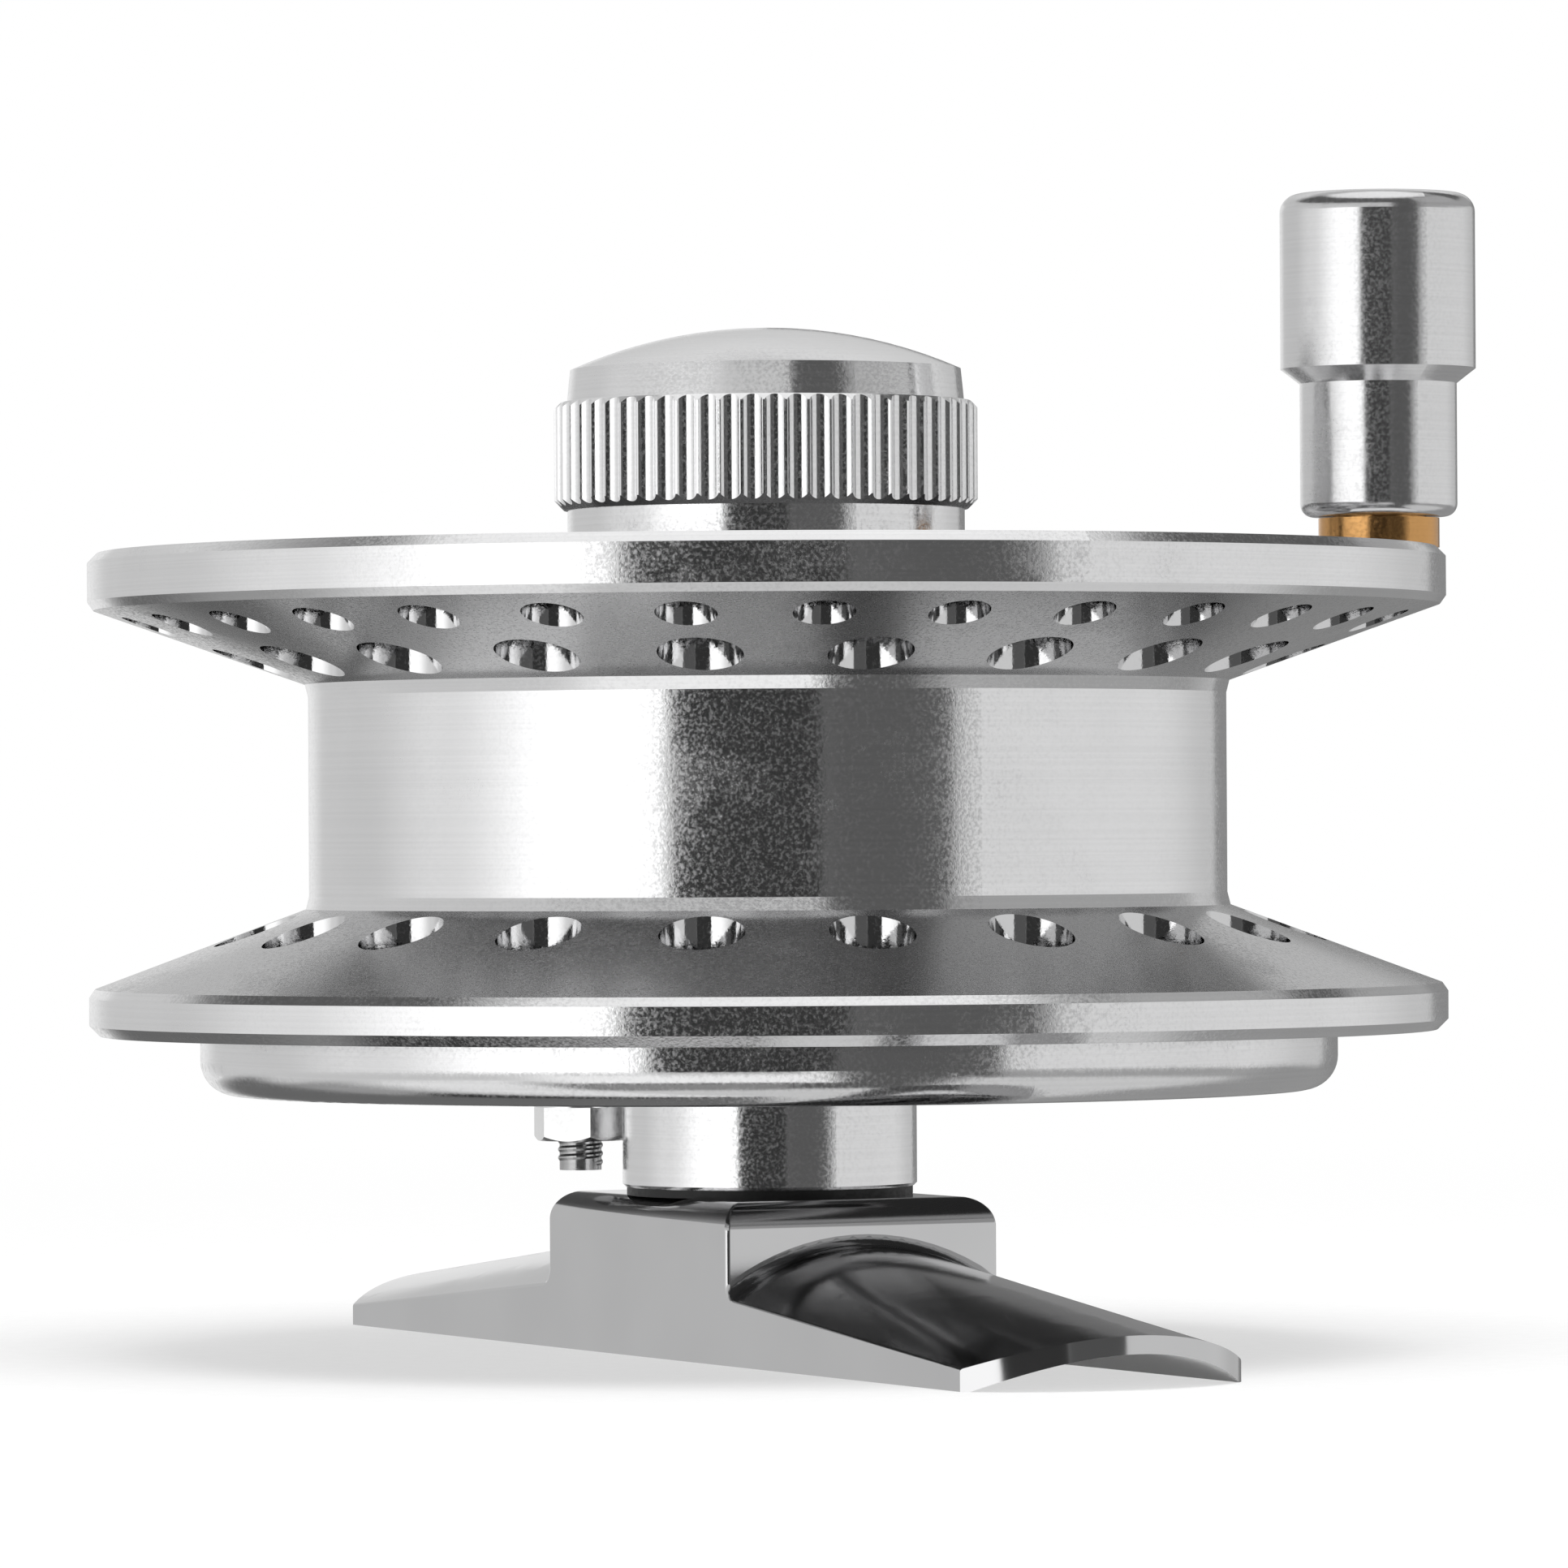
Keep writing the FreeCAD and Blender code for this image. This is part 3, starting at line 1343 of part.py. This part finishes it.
build_foot()
build_stem()
build_back_plate()
build_foot_and_plate_screws()
build_spindle()
build_bearing("rear")
build_bearing("front")
build_spool()
build_click_wheel()
build_pawl()
build_pawl_fixings()
build_leaf_spring()
build_drag_stack()
build_drag_knob()
build_knob_cap()
build_knob_stop()
build_handle()
drill_handle_hole()
document.recompute()
check_everything()
write_everything()
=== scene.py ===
"""Raft fishing reel: finishes, small threads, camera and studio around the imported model."""
import json
import math

import bmesh
import bpy
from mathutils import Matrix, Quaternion, Vector


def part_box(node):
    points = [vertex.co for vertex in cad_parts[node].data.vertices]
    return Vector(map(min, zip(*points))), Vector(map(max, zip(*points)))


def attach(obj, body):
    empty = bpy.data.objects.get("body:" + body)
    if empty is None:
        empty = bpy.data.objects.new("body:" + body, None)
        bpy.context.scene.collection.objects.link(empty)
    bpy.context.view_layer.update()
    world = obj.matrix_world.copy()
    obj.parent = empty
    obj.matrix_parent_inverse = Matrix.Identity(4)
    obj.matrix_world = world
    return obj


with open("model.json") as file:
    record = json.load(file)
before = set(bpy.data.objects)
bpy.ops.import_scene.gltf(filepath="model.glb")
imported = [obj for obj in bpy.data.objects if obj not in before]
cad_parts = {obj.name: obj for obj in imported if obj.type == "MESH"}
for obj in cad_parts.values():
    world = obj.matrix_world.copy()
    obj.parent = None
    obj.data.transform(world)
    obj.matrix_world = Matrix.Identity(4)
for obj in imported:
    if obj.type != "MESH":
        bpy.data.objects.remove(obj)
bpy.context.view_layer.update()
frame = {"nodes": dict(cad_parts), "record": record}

MM = 0.001
WHITE = (1.0, 1.0, 1.0, 1.0)

# The camera, fitted to the outlines in the photograph: metres, and millimetres for lens and sensor.
CAMERA_AZIMUTH = math.radians(63.5)
TOWARDS_CAMERA = Vector((math.sin(CAMERA_AZIMUTH), -math.cos(CAMERA_AZIMUTH), 0.0))
IMAGE_RIGHT = Vector((math.cos(CAMERA_AZIMUTH), math.sin(CAMERA_AZIMUTH), 0.0))
CAMERA_DISTANCE = 0.440
CAMERA_HEIGHT = 0.02464
CAMERA_ROLL = math.radians(-0.32)
AIM_HEIGHT = 0.02678
AIM_SIDE = 0.00077
FOCAL_LENGTH = 214.0
SENSOR_WIDTH = 36.0
NEAREST, FARTHEST = 0.01, 20.0

# Colours of the finishes.
ALUMINIUM = (0.90, 0.90, 0.905)
GRIP_ALUMINIUM = (0.83, 0.83, 0.835)
FOOT_ALUMINIUM = (0.70, 0.70, 0.705)
CAST_SKIN = (0.85, 0.85, 0.85)
STEEL = (0.74, 0.735, 0.73)
SPRING_STEEL = (0.5, 0.48, 0.46)
NUT_STEEL = (0.86, 0.86, 0.86)
SCREW_STEEL = (0.5, 0.5, 0.5)
BRASS = (0.70, 0.38, 0.14)
BLACK_FIBRE = (0.012, 0.012, 0.012)
FRICTION_FIBRE = (0.05, 0.042, 0.035)
PAPER = (0.86, 0.86, 0.86)
LIGHT_PAPER = (0.9, 0.9, 0.9)


class Tree:
    """A node tree that is written one line per node."""

    def __init__(self, owner):
        owner.use_nodes = True
        self.nodes = owner.node_tree.nodes
        self.links = owner.node_tree.links
        self.nodes.clear()

    def add(self, kind, settings=None, **inputs):
        """Adds a node; inputs are values or outputs of other nodes, by socket name or as i and index."""
        node = self.nodes.new("ShaderNode" + kind)
        for name, value in (settings or {}).items():
            setattr(node, name, value)
        for name, value in inputs.items():
            self.feed(node, name.replace("_", " "), value)
        return node

    def feed(self, node, socket, value):
        """Sets one input, or links it if the value is another node's output."""
        key = int(socket[1:]) if socket[0] == "i" and socket[1:].isdigit() else socket
        target = node.inputs[key]
        if isinstance(value, bpy.types.NodeSocket):
            self.links.new(value, target)
        else:
            target.default_value = value

    def math(self, operation, first, second=0.0):
        """One step of arithmetic."""
        return self.add("Math", {"operation": operation}, i0=first, i1=second).outputs[0]

    def product(self, first, *others):
        """Product of two or more numbers."""
        for other in others:
            first = self.math("MULTIPLY", first, other)
        return first

    def ease(self, value, low, high, start=0.0, end=1.0):
        """Smooth change from start to end as the value goes from low to high."""
        node = self.add("MapRange", {"interpolation_type": "SMOOTHSTEP"}, Value=value)
        for name, number in zip(("From Min", "From Max", "To Min", "To Max"), (low, high, start, end)):
            node.inputs[name].default_value = number
        return node.outputs[0]

    def fall(self, value, low, high):
        """Smooth change from 1 to 0 as the value goes from low to high."""
        return self.ease(value, low, high, 1.0, 0.0)

    def mix(self, share, first, second):
        """Blend of two numbers."""
        return self.add("Mix", {"data_type": "FLOAT"}, i0=share, i2=first, i3=second).outputs[0]

    def tint(self, share, first, second):
        """Blend of two colours."""
        return self.add("Mix", {"data_type": "RGBA"}, i0=share, i6=first, i7=second).outputs[2]

    def blend(self, share, first, second):
        """Blend of two shaders."""
        return self.add("MixShader", i0=share, i1=first.outputs[0], i2=second.outputs[0])

    def along(self, vector, axis):
        """How far a vector reaches along a fixed axis."""
        node = self.add("VectorMath", {"operation": "DOT_PRODUCT"}, i0=vector, i1=tuple(axis))
        return node.outputs["Value"]

    def noise(self, vector, per_metre, detail=2.0, roughness=0.5, flat=False):
        """Noise with a given number of features in a metre."""
        node = self.add(
            "TexNoise",
            {"noise_dimensions": "2D" if flat else "3D"},
            Vector=vector,
            Scale=per_metre,
            Detail=detail,
            Roughness=roughness,
        )
        return node.outputs["Fac"]

    def bump(self, height, depth, normal=None):
        """Bump of a real depth in metres."""
        node = self.add("Bump", Height=height, Distance=depth, Strength=1.0)
        if normal is not None:
            self.feed(node, "Normal", normal)
        return node.outputs[0]

    def finish(self, shader, kind="OutputMaterial"):
        """Sends a shader to the output."""
        output = self.add(kind)
        self.links.new(shader.outputs[0], output.inputs[0])


def rgba(colour, factor=1.0):
    """A colour with its alpha, made lighter or darker by a factor."""
    return tuple(min(1.0, channel * factor) for channel in colour) + (1.0,)


def new_object(name, data):
    """New object in the scene's own collection."""
    thing = bpy.data.objects.new(name, data)
    bpy.context.scene.collection.objects.link(thing)
    return thing


def lathe_point(tree, centre):
    """Object point, its distance from a turning axis, and that with its height as a flat pair."""
    place = tree.add("TexCoord").outputs["Object"]
    parts = tree.add("SeparateXYZ", Vector=place)
    across = tree.math("SUBTRACT", parts.outputs[0], centre[0])
    along = tree.math("SUBTRACT", parts.outputs[1], centre[1])
    squares = tree.math("ADD", tree.product(across, across), tree.product(along, along))
    reach = tree.math("SQRT", squares)
    pair = tree.add("CombineXYZ", X=reach, Y=parts.outputs[2], Z=0.0)
    return place, reach, pair.outputs[0]


def facing_up(tree):
    """How far a face looks up: 1 for a level top, -1 for a level underside."""
    normal = tree.add("TexCoord").outputs["Normal"]
    return tree.add("SeparateXYZ", Vector=normal).outputs[2]


# Each of the next three gives places on a piece where shade is painted: where it is, how much darker its
# colour is painted and how much rougher it is.


def spool_painted_shade(tree, reach):
    """Painted shade on the spool's two cones, told by their slope, and on the walls of the holes in its
    flanges; the cones are also a little rougher and the walls a little smoother.
    """
    slope = tree.math("ABSOLUTE", facing_up(tree))
    cones = tree.product(tree.ease(slope, 0.86, 0.92), tree.fall(slope, 0.965, 0.985))
    flange = tree.product(
        tree.ease(reach, 22.2 * MM, 22.4 * MM), tree.fall(reach, 30.8 * MM, 31.0 * MM)
    )
    walls = tree.product(tree.fall(slope, 0.2, 0.4), flange)
    return ((cones, 0.33, 0.06), (walls, 0.15, -0.08))


def knob_painted_shade(tree, reach):
    """Painted shade on the drag knob's faces that look down, as in the undercut below its flutes; they
    are rougher too.
    """
    return ((tree.fall(facing_up(tree), -0.6, -0.4), 0.85, 0.15),)


def plate_painted_shade(tree, reach):
    """Painted shade on the back plate's underside: its colour is made darker than its edge."""
    return ((tree.fall(facing_up(tree), -0.98, -0.94), 0.45, 0.0),)


def turned_metal(
    name, colour, centre=(0.0, 0.0), roughness=0.1, specks=0.14, grain=3e-6, lines=2e-7, places=None
):
    """Lathe-turned metal: fine rings round its axis over a satin grain, with faint wiping marks.

    Specks are rougher grains in the finish. Grain and lines are the depths of grain and rings, in metres.
    """
    material = bpy.data.materials.new(name)
    tree = Tree(material)
    place, reach, pair = lathe_point(tree, centre)
    fine = tree.noise(place, per_metre=6200.0, roughness=0.6)
    rings = tree.noise(pair, per_metre=7000.0, roughness=0.6, flat=True)
    marks = tree.noise(place, per_metre=170.0, detail=3.0, roughness=0.6)
    wiped = tree.noise(place, per_metre=210.0, detail=4.0, roughness=0.65)
    smears = tree.ease(wiped, 0.52, 0.68, 0.0, 0.05)
    share = tree.mix(0.5, tree.ease(rings, 0.3, 0.7), tree.ease(marks, 0.3, 0.7))
    base = tree.tint(share, rgba(colour, 0.95), rgba(colour, 1.02))
    rough = tree.math("ADD", tree.ease(fine, 0.36, 0.7, roughness, roughness + specks), smears)
    # Painted shade: the given places get a darker colour, and their roughness is changed.
    for where, darker, rougher in places(tree, reach) if places else ():
        base = tree.tint(where, base, rgba(colour, 1.0 - darker))
        rough = tree.math("ADD", rough, tree.product(where, rougher))
    normal = tree.bump(rings, lines, tree.bump(fine, grain))
    tree.finish(
        tree.add("BsdfPrincipled", Base_Color=base, Metallic=1.0, Roughness=rough, Normal=normal)
    )
    return material


def polished_metal(name, colour, roughness=0.1):
    """Buffed metal: nearly a mirror, with faint long buffing lines, left as cast on its underside."""
    material = bpy.data.materials.new(name)
    tree = Tree(material)
    place = tree.add("TexCoord").outputs["Object"]
    stretched = tree.add("Mapping", Vector=place)
    stretched.inputs["Scale"].default_value = (0.08, 1.0, 1.0)
    lines = tree.noise(stretched.outputs[0], per_metre=5000.0)
    haze = tree.noise(place, per_metre=120.0, detail=3.0)
    under = tree.fall(facing_up(tree), -0.8, -0.6)
    buffed = tree.tint(tree.ease(haze, 0.3, 0.7), rgba(colour, 0.96), rgba(colour, 1.01))
    gloss = tree.ease(haze, 0.35, 0.7, roughness * 0.85, roughness * 1.25)
    tree.finish(
        tree.add(
            "BsdfPrincipled",
            Base_Color=tree.tint(under, buffed, rgba(CAST_SKIN)),
            Metallic=tree.mix(under, 1.0, 0.15),
            Roughness=tree.mix(under, gloss, 0.6),
            Normal=tree.bump(lines, 2.5e-7),
        )
    )
    return material


def fibre(name, colour, roughness=0.5):
    """Fibre washer: dull, with a fine moulded grain."""
    material = bpy.data.materials.new(name)
    tree = Tree(material)
    place = tree.add("TexCoord").outputs["Object"]
    grain = tree.noise(place, per_metre=6000.0, detail=3.0)
    base = tree.tint(tree.ease(grain, 0.35, 0.7), rgba(colour), rgba(colour, 1.8))
    rough = tree.ease(grain, 0.3, 0.7, roughness * 0.85, roughness * 1.15)
    normal = tree.bump(grain, 4e-6)
    tree.finish(tree.add("BsdfPrincipled", Base_Color=base, Roughness=rough, Normal=normal))
    return material


handle_low, handle_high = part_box("handle_knob")
handle_axis = tuple((handle_low + handle_high) / 2)[:2]
nut_low, nut_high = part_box("pawl_screw")
nut_axis = tuple((nut_low + nut_high) / 2)[:2]

slot_finishes = {
    "turned_aluminium": turned_metal("turned_aluminium", ALUMINIUM),
    "polished_aluminium": polished_metal("polished_aluminium", FOOT_ALUMINIUM),
    "steel": turned_metal("steel", STEEL, roughness=0.18, specks=0.05, grain=1.5e-6, lines=1.0e-6),
    "bearing_steel": turned_metal("bearing_steel", STEEL, specks=0.03, grain=4e-7, lines=4e-7),
    "spring_steel": turned_metal("spring_steel", SPRING_STEEL, roughness=0.25, specks=0.05),
    "brass": turned_metal(
        "brass", BRASS, handle_axis, roughness=0.16, specks=0.1, grain=2e-6, lines=8e-7
    ),
    "black_washer": fibre("black_washer", BLACK_FIBRE),
    "friction_fibre": fibre("friction_fibre", FRICTION_FIBRE, roughness=0.65),
}
grip_finish = turned_metal(
    "turned_aluminium_handle", GRIP_ALUMINIUM, handle_axis, roughness=0.15, specks=0.09, grain=1.2e-6
)
nut_finish = turned_metal(
    "steel_nut", NUT_STEEL, nut_axis, roughness=0.14, specks=0.05, grain=1e-6, lines=1.2e-6
)
screw_finish = turned_metal(
    "steel_screw", SCREW_STEEL, nut_axis, roughness=0.2, specks=0.05, grain=1e-6, lines=1.2e-6
)
piece_finishes = {
    "spool": turned_metal("turned_aluminium_spool", ALUMINIUM, places=spool_painted_shade),
    "drag_knob": turned_metal("turned_aluminium_knob", ALUMINIUM, places=knob_painted_shade),
    "back_plate": turned_metal("turned_aluminium_plate", ALUMINIUM, places=plate_painted_shade),
    "handle_knob": grip_finish,
    "handle_cap": grip_finish,
    "pawl_nut": nut_finish,
    "pawl_washer": nut_finish,
    "pawl_lock_washer": nut_finish,
    "pawl_screw": screw_finish,
}

slot_of = {piece["node"]: piece["material_slot"] for piece in frame["record"]["subparts"]}
for name, node in frame["nodes"].items():
    for slot in node.material_slots:
        slot.material = piece_finishes.get(name, slot_finishes[slot_of[name]])


def thread_sleeve():
    """Fine thread cut on the free end of the pawl's screw, as one spiral ridge."""
    low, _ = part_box("pawl_screw")
    turns = 3.2
    steps_per_turn = 40
    steps_to_full_height = 8
    pitch = 0.4 * MM
    root = 0.98 * MM
    crest = 1.07 * MM
    start = low.z + 0.12 * MM
    count = int(turns * steps_per_turn)
    mesh = bmesh.new()
    rows = []
    for index in range(count + 1):
        angle = 2 * math.pi * index / steps_per_turn
        level = start + pitch * index / steps_per_turn
        share = min(1.0, index / steps_to_full_height, (count - index) / steps_to_full_height)
        reach = root + (crest - root) * share
        row = []
        for rise, radius in ((0.0, root), (0.35, reach), (0.55, reach), (0.9, root)):
            point = (
                nut_axis[0] + radius * math.cos(angle),
                nut_axis[1] + radius * math.sin(angle),
                level + rise * pitch,
            )
            row.append(mesh.verts.new(point))
        rows.append(row)
    for first, second in zip(rows, rows[1:]):
        for side in range(4):
            after = (side + 1) % 4
            mesh.faces.new((first[side], first[after], second[after], second[side]))
    mesh.faces.new(rows[0])
    mesh.faces.new(list(reversed(rows[-1])))
    bmesh.ops.recalc_face_normals(mesh, faces=mesh.faces)
    data = bpy.data.meshes.new("pawl_screw_thread")
    mesh.to_mesh(data)
    mesh.free()
    piece = new_object("pawl_screw_thread", data)
    data.materials.append(screw_finish)
    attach(piece, "stand")


thread_sleeve()

# The studio's panels, each over those before it: brightness, bearings of its left and right edge,
# softness of the left edge, height that it reaches above and below the level, softness of that.
# All but the brightness are degrees. A bearing is 0 towards the camera and grows to the right.
UPPER_PANELS = (
    (0.1, -135.0, 150.0, 30.0, 58.0, 8.0),  # dark room, seen in the steep faces
    (0.4, 50.0, 120.0, 6.0, 54.0, 6.0),  # over the right panel, seen in the foot's rounded block
    (0.6, -155.0, 15.0, 20.0, 29.0, 3.0),  # over the left panel, seen in the cones
)
TABLE_GLOW = (0.95, -50.0, 15.0, 20.0, 37.0, 4.0)  # kept below the level
LEVEL_PANELS = (
    (0.6, -155.0, 15.0, 20.0, 14.0, 3.0),  # ledge over the left panel
    (0.36, 47.0, 160.0, 2.5, 29.0, 3.0),  # ledge over the right panel
    (0.1, 15.0, 47.0, 2.0, 31.0, 3.0),  # gap between them
    (0.85, -185.0, -150.0, 20.0, 12.0, 3.0),  # behind the reel, left
    (0.25, 142.0, 185.0, 14.0, 12.0, 3.0),  # behind the reel, right
    (0.72, 47.0, 150.0, 2.5, 10.0, 3.0),  # right panel
    (0.56, 128.0, 150.0, 30.0, 10.0, 3.0),  # its dimmer far end
    (0.6, -155.0, -24.5, 20.0, 10.0, 3.0),  # left panel
    (0.78, -103.0, -24.5, 28.0, 10.0, 3.0),  # brighter towards the camera
    (1.35, -66.0, -24.5, 40.0, 10.0, 3.0),  # its white end
    (0.035, -24.5, 14.0, 2.0, 9.0, 2.0),  # black flag
    (0.1, 14.0, 47.0, 2.0, 10.0, 3.0),  # grey flag
)


def light_the_world():
    """Studio that the metal mirrors, with plain white behind the reel for the camera."""
    world = bpy.data.worlds.new("studio")
    bpy.context.scene.world = world
    tree = Tree(world)
    way = tree.add("TexCoord").outputs["Generated"]
    right = tree.along(way, IMAGE_RIGHT)
    front = tree.along(way, TOWARDS_CAMERA)
    up = tree.add("SeparateXYZ", Vector=way).outputs[2]
    turn = tree.product(tree.math("ARCTAN2", right, front), math.degrees(1.0))
    lift = tree.product(tree.math("ARCSINE", up), math.degrees(1.0))
    steepness = tree.math("ABSOLUTE", lift)

    def panel(level, value, left, right, edge, top, top_edge):
        """Blends in one panel of the lists above. Its right edge is never softer than 2 degrees."""
        sharp = min(edge, 2.0)
        inside = tree.product(
            tree.ease(turn, left - edge / 2, left + edge / 2),
            tree.fall(turn, right - sharp / 2, right + sharp / 2),
        )
        low = tree.fall(steepness, top - top_edge / 2, top + top_edge / 2)
        return tree.mix(tree.product(inside, low), level, value)

    level = tree.ease(lift, 10.0, 75.0, 0.6, 0.95)
    behind = tree.ease(tree.math("ABSOLUTE", turn), 125.0, 145.0)
    high = tree.product(tree.ease(lift, 40.0, 48.0), tree.fall(lift, 60.0, 70.0))
    level = tree.mix(tree.product(behind, high), level, 0.5)
    for numbers in UPPER_PANELS:
        level = panel(level, *numbers)
    level = tree.mix(tree.fall(lift, -6.0, 6.0), level, panel(level, *TABLE_GLOW))
    for numbers in LEVEL_PANELS:
        level = panel(level, *numbers)

    # Under the level: the pale table left and right of the reel, and the dark parts round it.
    table = tree.fall(lift, -30.0, -22.0)
    left_table = tree.product(tree.fall(turn, -60.0, -46.0), table)
    level = tree.mix(left_table, level, tree.ease(turn, -115.0, -85.0, 0.32, 0.8))
    level = tree.mix(tree.product(tree.ease(turn, 36.0, 46.0), table), level, 0.6)
    far_left = tree.product(tree.fall(turn, -118.0, -100.0), tree.fall(lift, -56.0, -48.0))
    level = tree.mix(far_left, level, 0.03)
    middle = tree.product(tree.ease(turn, -54.0, -42.0), tree.fall(turn, 2.0, 10.0))
    strip = tree.product(middle, tree.fall(lift, -44.0, -36.0), tree.ease(lift, -66.0, -58.0))
    level = tree.mix(strip, level, 0.25)
    left_back = tree.product(tree.fall(turn, -140.0, -122.0), tree.fall(lift, -18.0, -10.0))
    level = tree.mix(left_back, level, 0.14)
    low = tree.product(tree.fall(lift, -12.0, -4.0), tree.ease(lift, -58.0, -50.0))
    level = tree.mix(tree.product(tree.ease(turn, 110.0, 130.0), low), level, 0.3)

    studio = tree.add("Background", Color=WHITE, Strength=level)
    plain = tree.add("Background", Color=WHITE, Strength=1.0)
    seen = tree.blend(tree.add("LightPath").outputs["Is Camera Ray"], studio, plain)
    tree.finish(seen, "OutputWorld")


light_the_world()


def build_floor():
    """Plain pale floor, clear from below. In it the metal mirrors only a painted shadow under the reel, a
    dim disc.
    """
    half = 3.0
    data = bpy.data.meshes.new("floor")
    corners = [(-half, -half, 0.0), (half, -half, 0.0), (half, half, 0.0), (-half, half, 0.0)]
    data.from_pydata(corners, [], [(0, 1, 2, 3)])
    floor = new_object("floor", data)
    material = bpy.data.materials.new("floor_paper")
    tree = Tree(material)
    place = tree.add("TexCoord").outputs["Object"]
    rays = tree.add("LightPath").outputs
    reach = tree.add("VectorMath", {"operation": "LENGTH"}, i0=place).outputs["Value"]
    grain = tree.noise(place, per_metre=900.0, detail=3.0)
    paper = tree.tint(tree.ease(grain, 0.3, 0.7), rgba(PAPER), rgba(LIGHT_PAPER))
    matt = tree.add("BsdfDiffuse", Color=paper)
    white = tree.add("Emission", Color=WHITE, Strength=1.0)
    clear = tree.add("BsdfTransparent")
    whiteness = tree.product(rays["Is Camera Ray"], tree.ease(reach, 0.03, 0.3, 0.6, 1.0))
    lifted = tree.blend(whiteness, matt, white)

    # A ray that comes from one mirrored face only, and not from a face seen in another, passes through.
    first_mirror = tree.math("LESS_THAN", rays["Glossy Depth"], 1.5)
    outside = tree.math("MAXIMUM", tree.ease(reach, 0.030, 0.038), first_mirror)
    # Painted shadow: a dim fixed disc within 30 to 38 mm of the middle, seen only in a face mirrored in
    # another face.
    painted_shadow = tree.add("Emission", Color=WHITE, Strength=0.05)
    mirrored = tree.blend(outside, painted_shadow, clear)
    upper_side = tree.blend(rays["Is Glossy Ray"], lifted, mirrored)
    underside = tree.add("NewGeometry").outputs["Backfacing"]
    tree.finish(tree.blend(underside, upper_side, clear))
    data.materials.append(material)


build_floor()


def place_lamp(name, turn, lift, distance, size, power):
    """Soft square lamp aimed at the middle of the reel."""
    data = bpy.data.lights.new(name, "AREA")
    data.shape = "SQUARE"
    data.size = size
    data.energy = power
    lamp = new_object(name, data)
    turn = math.radians(turn)
    lift = math.radians(lift)
    level = TOWARDS_CAMERA * math.cos(turn) + IMAGE_RIGHT * math.sin(turn)
    way = level * math.cos(lift) + Vector((0.0, 0.0, math.sin(lift)))
    reel_middle = Vector((0.0, 0.0, 0.025))
    lamp.location = reel_middle + way * distance
    lamp.rotation_mode = "QUATERNION"
    lamp.rotation_quaternion = (-way).to_track_quat("-Z", "Y")
    lamp.visible_camera = False
    lamp.visible_glossy = False


place_lamp("top_softbox", turn=20.0, lift=75.0, distance=0.8, size=0.6, power=6.0)


def place_camera():
    """Camera level with the spool, rolled a little so that the reel leans as photographed."""
    data = bpy.data.cameras.new("camera")
    data.lens = FOCAL_LENGTH
    data.sensor_width = SENSOR_WIDTH
    data.clip_start = NEAREST
    data.clip_end = FARTHEST
    camera = new_object("camera", data)
    camera.location = TOWARDS_CAMERA * CAMERA_DISTANCE + Vector((0.0, 0.0, CAMERA_HEIGHT))
    aim = IMAGE_RIGHT * AIM_SIDE + Vector((0.0, 0.0, AIM_HEIGHT))
    look = (aim - camera.location).to_track_quat("-Z", "Y")
    camera.rotation_mode = "QUATERNION"
    camera.rotation_quaternion = look @ Quaternion((0.0, 0.0, 1.0), CAMERA_ROLL)
    bpy.context.scene.camera = camera


place_camera()
bpy.context.scene.view_settings.view_transform = "Standard"
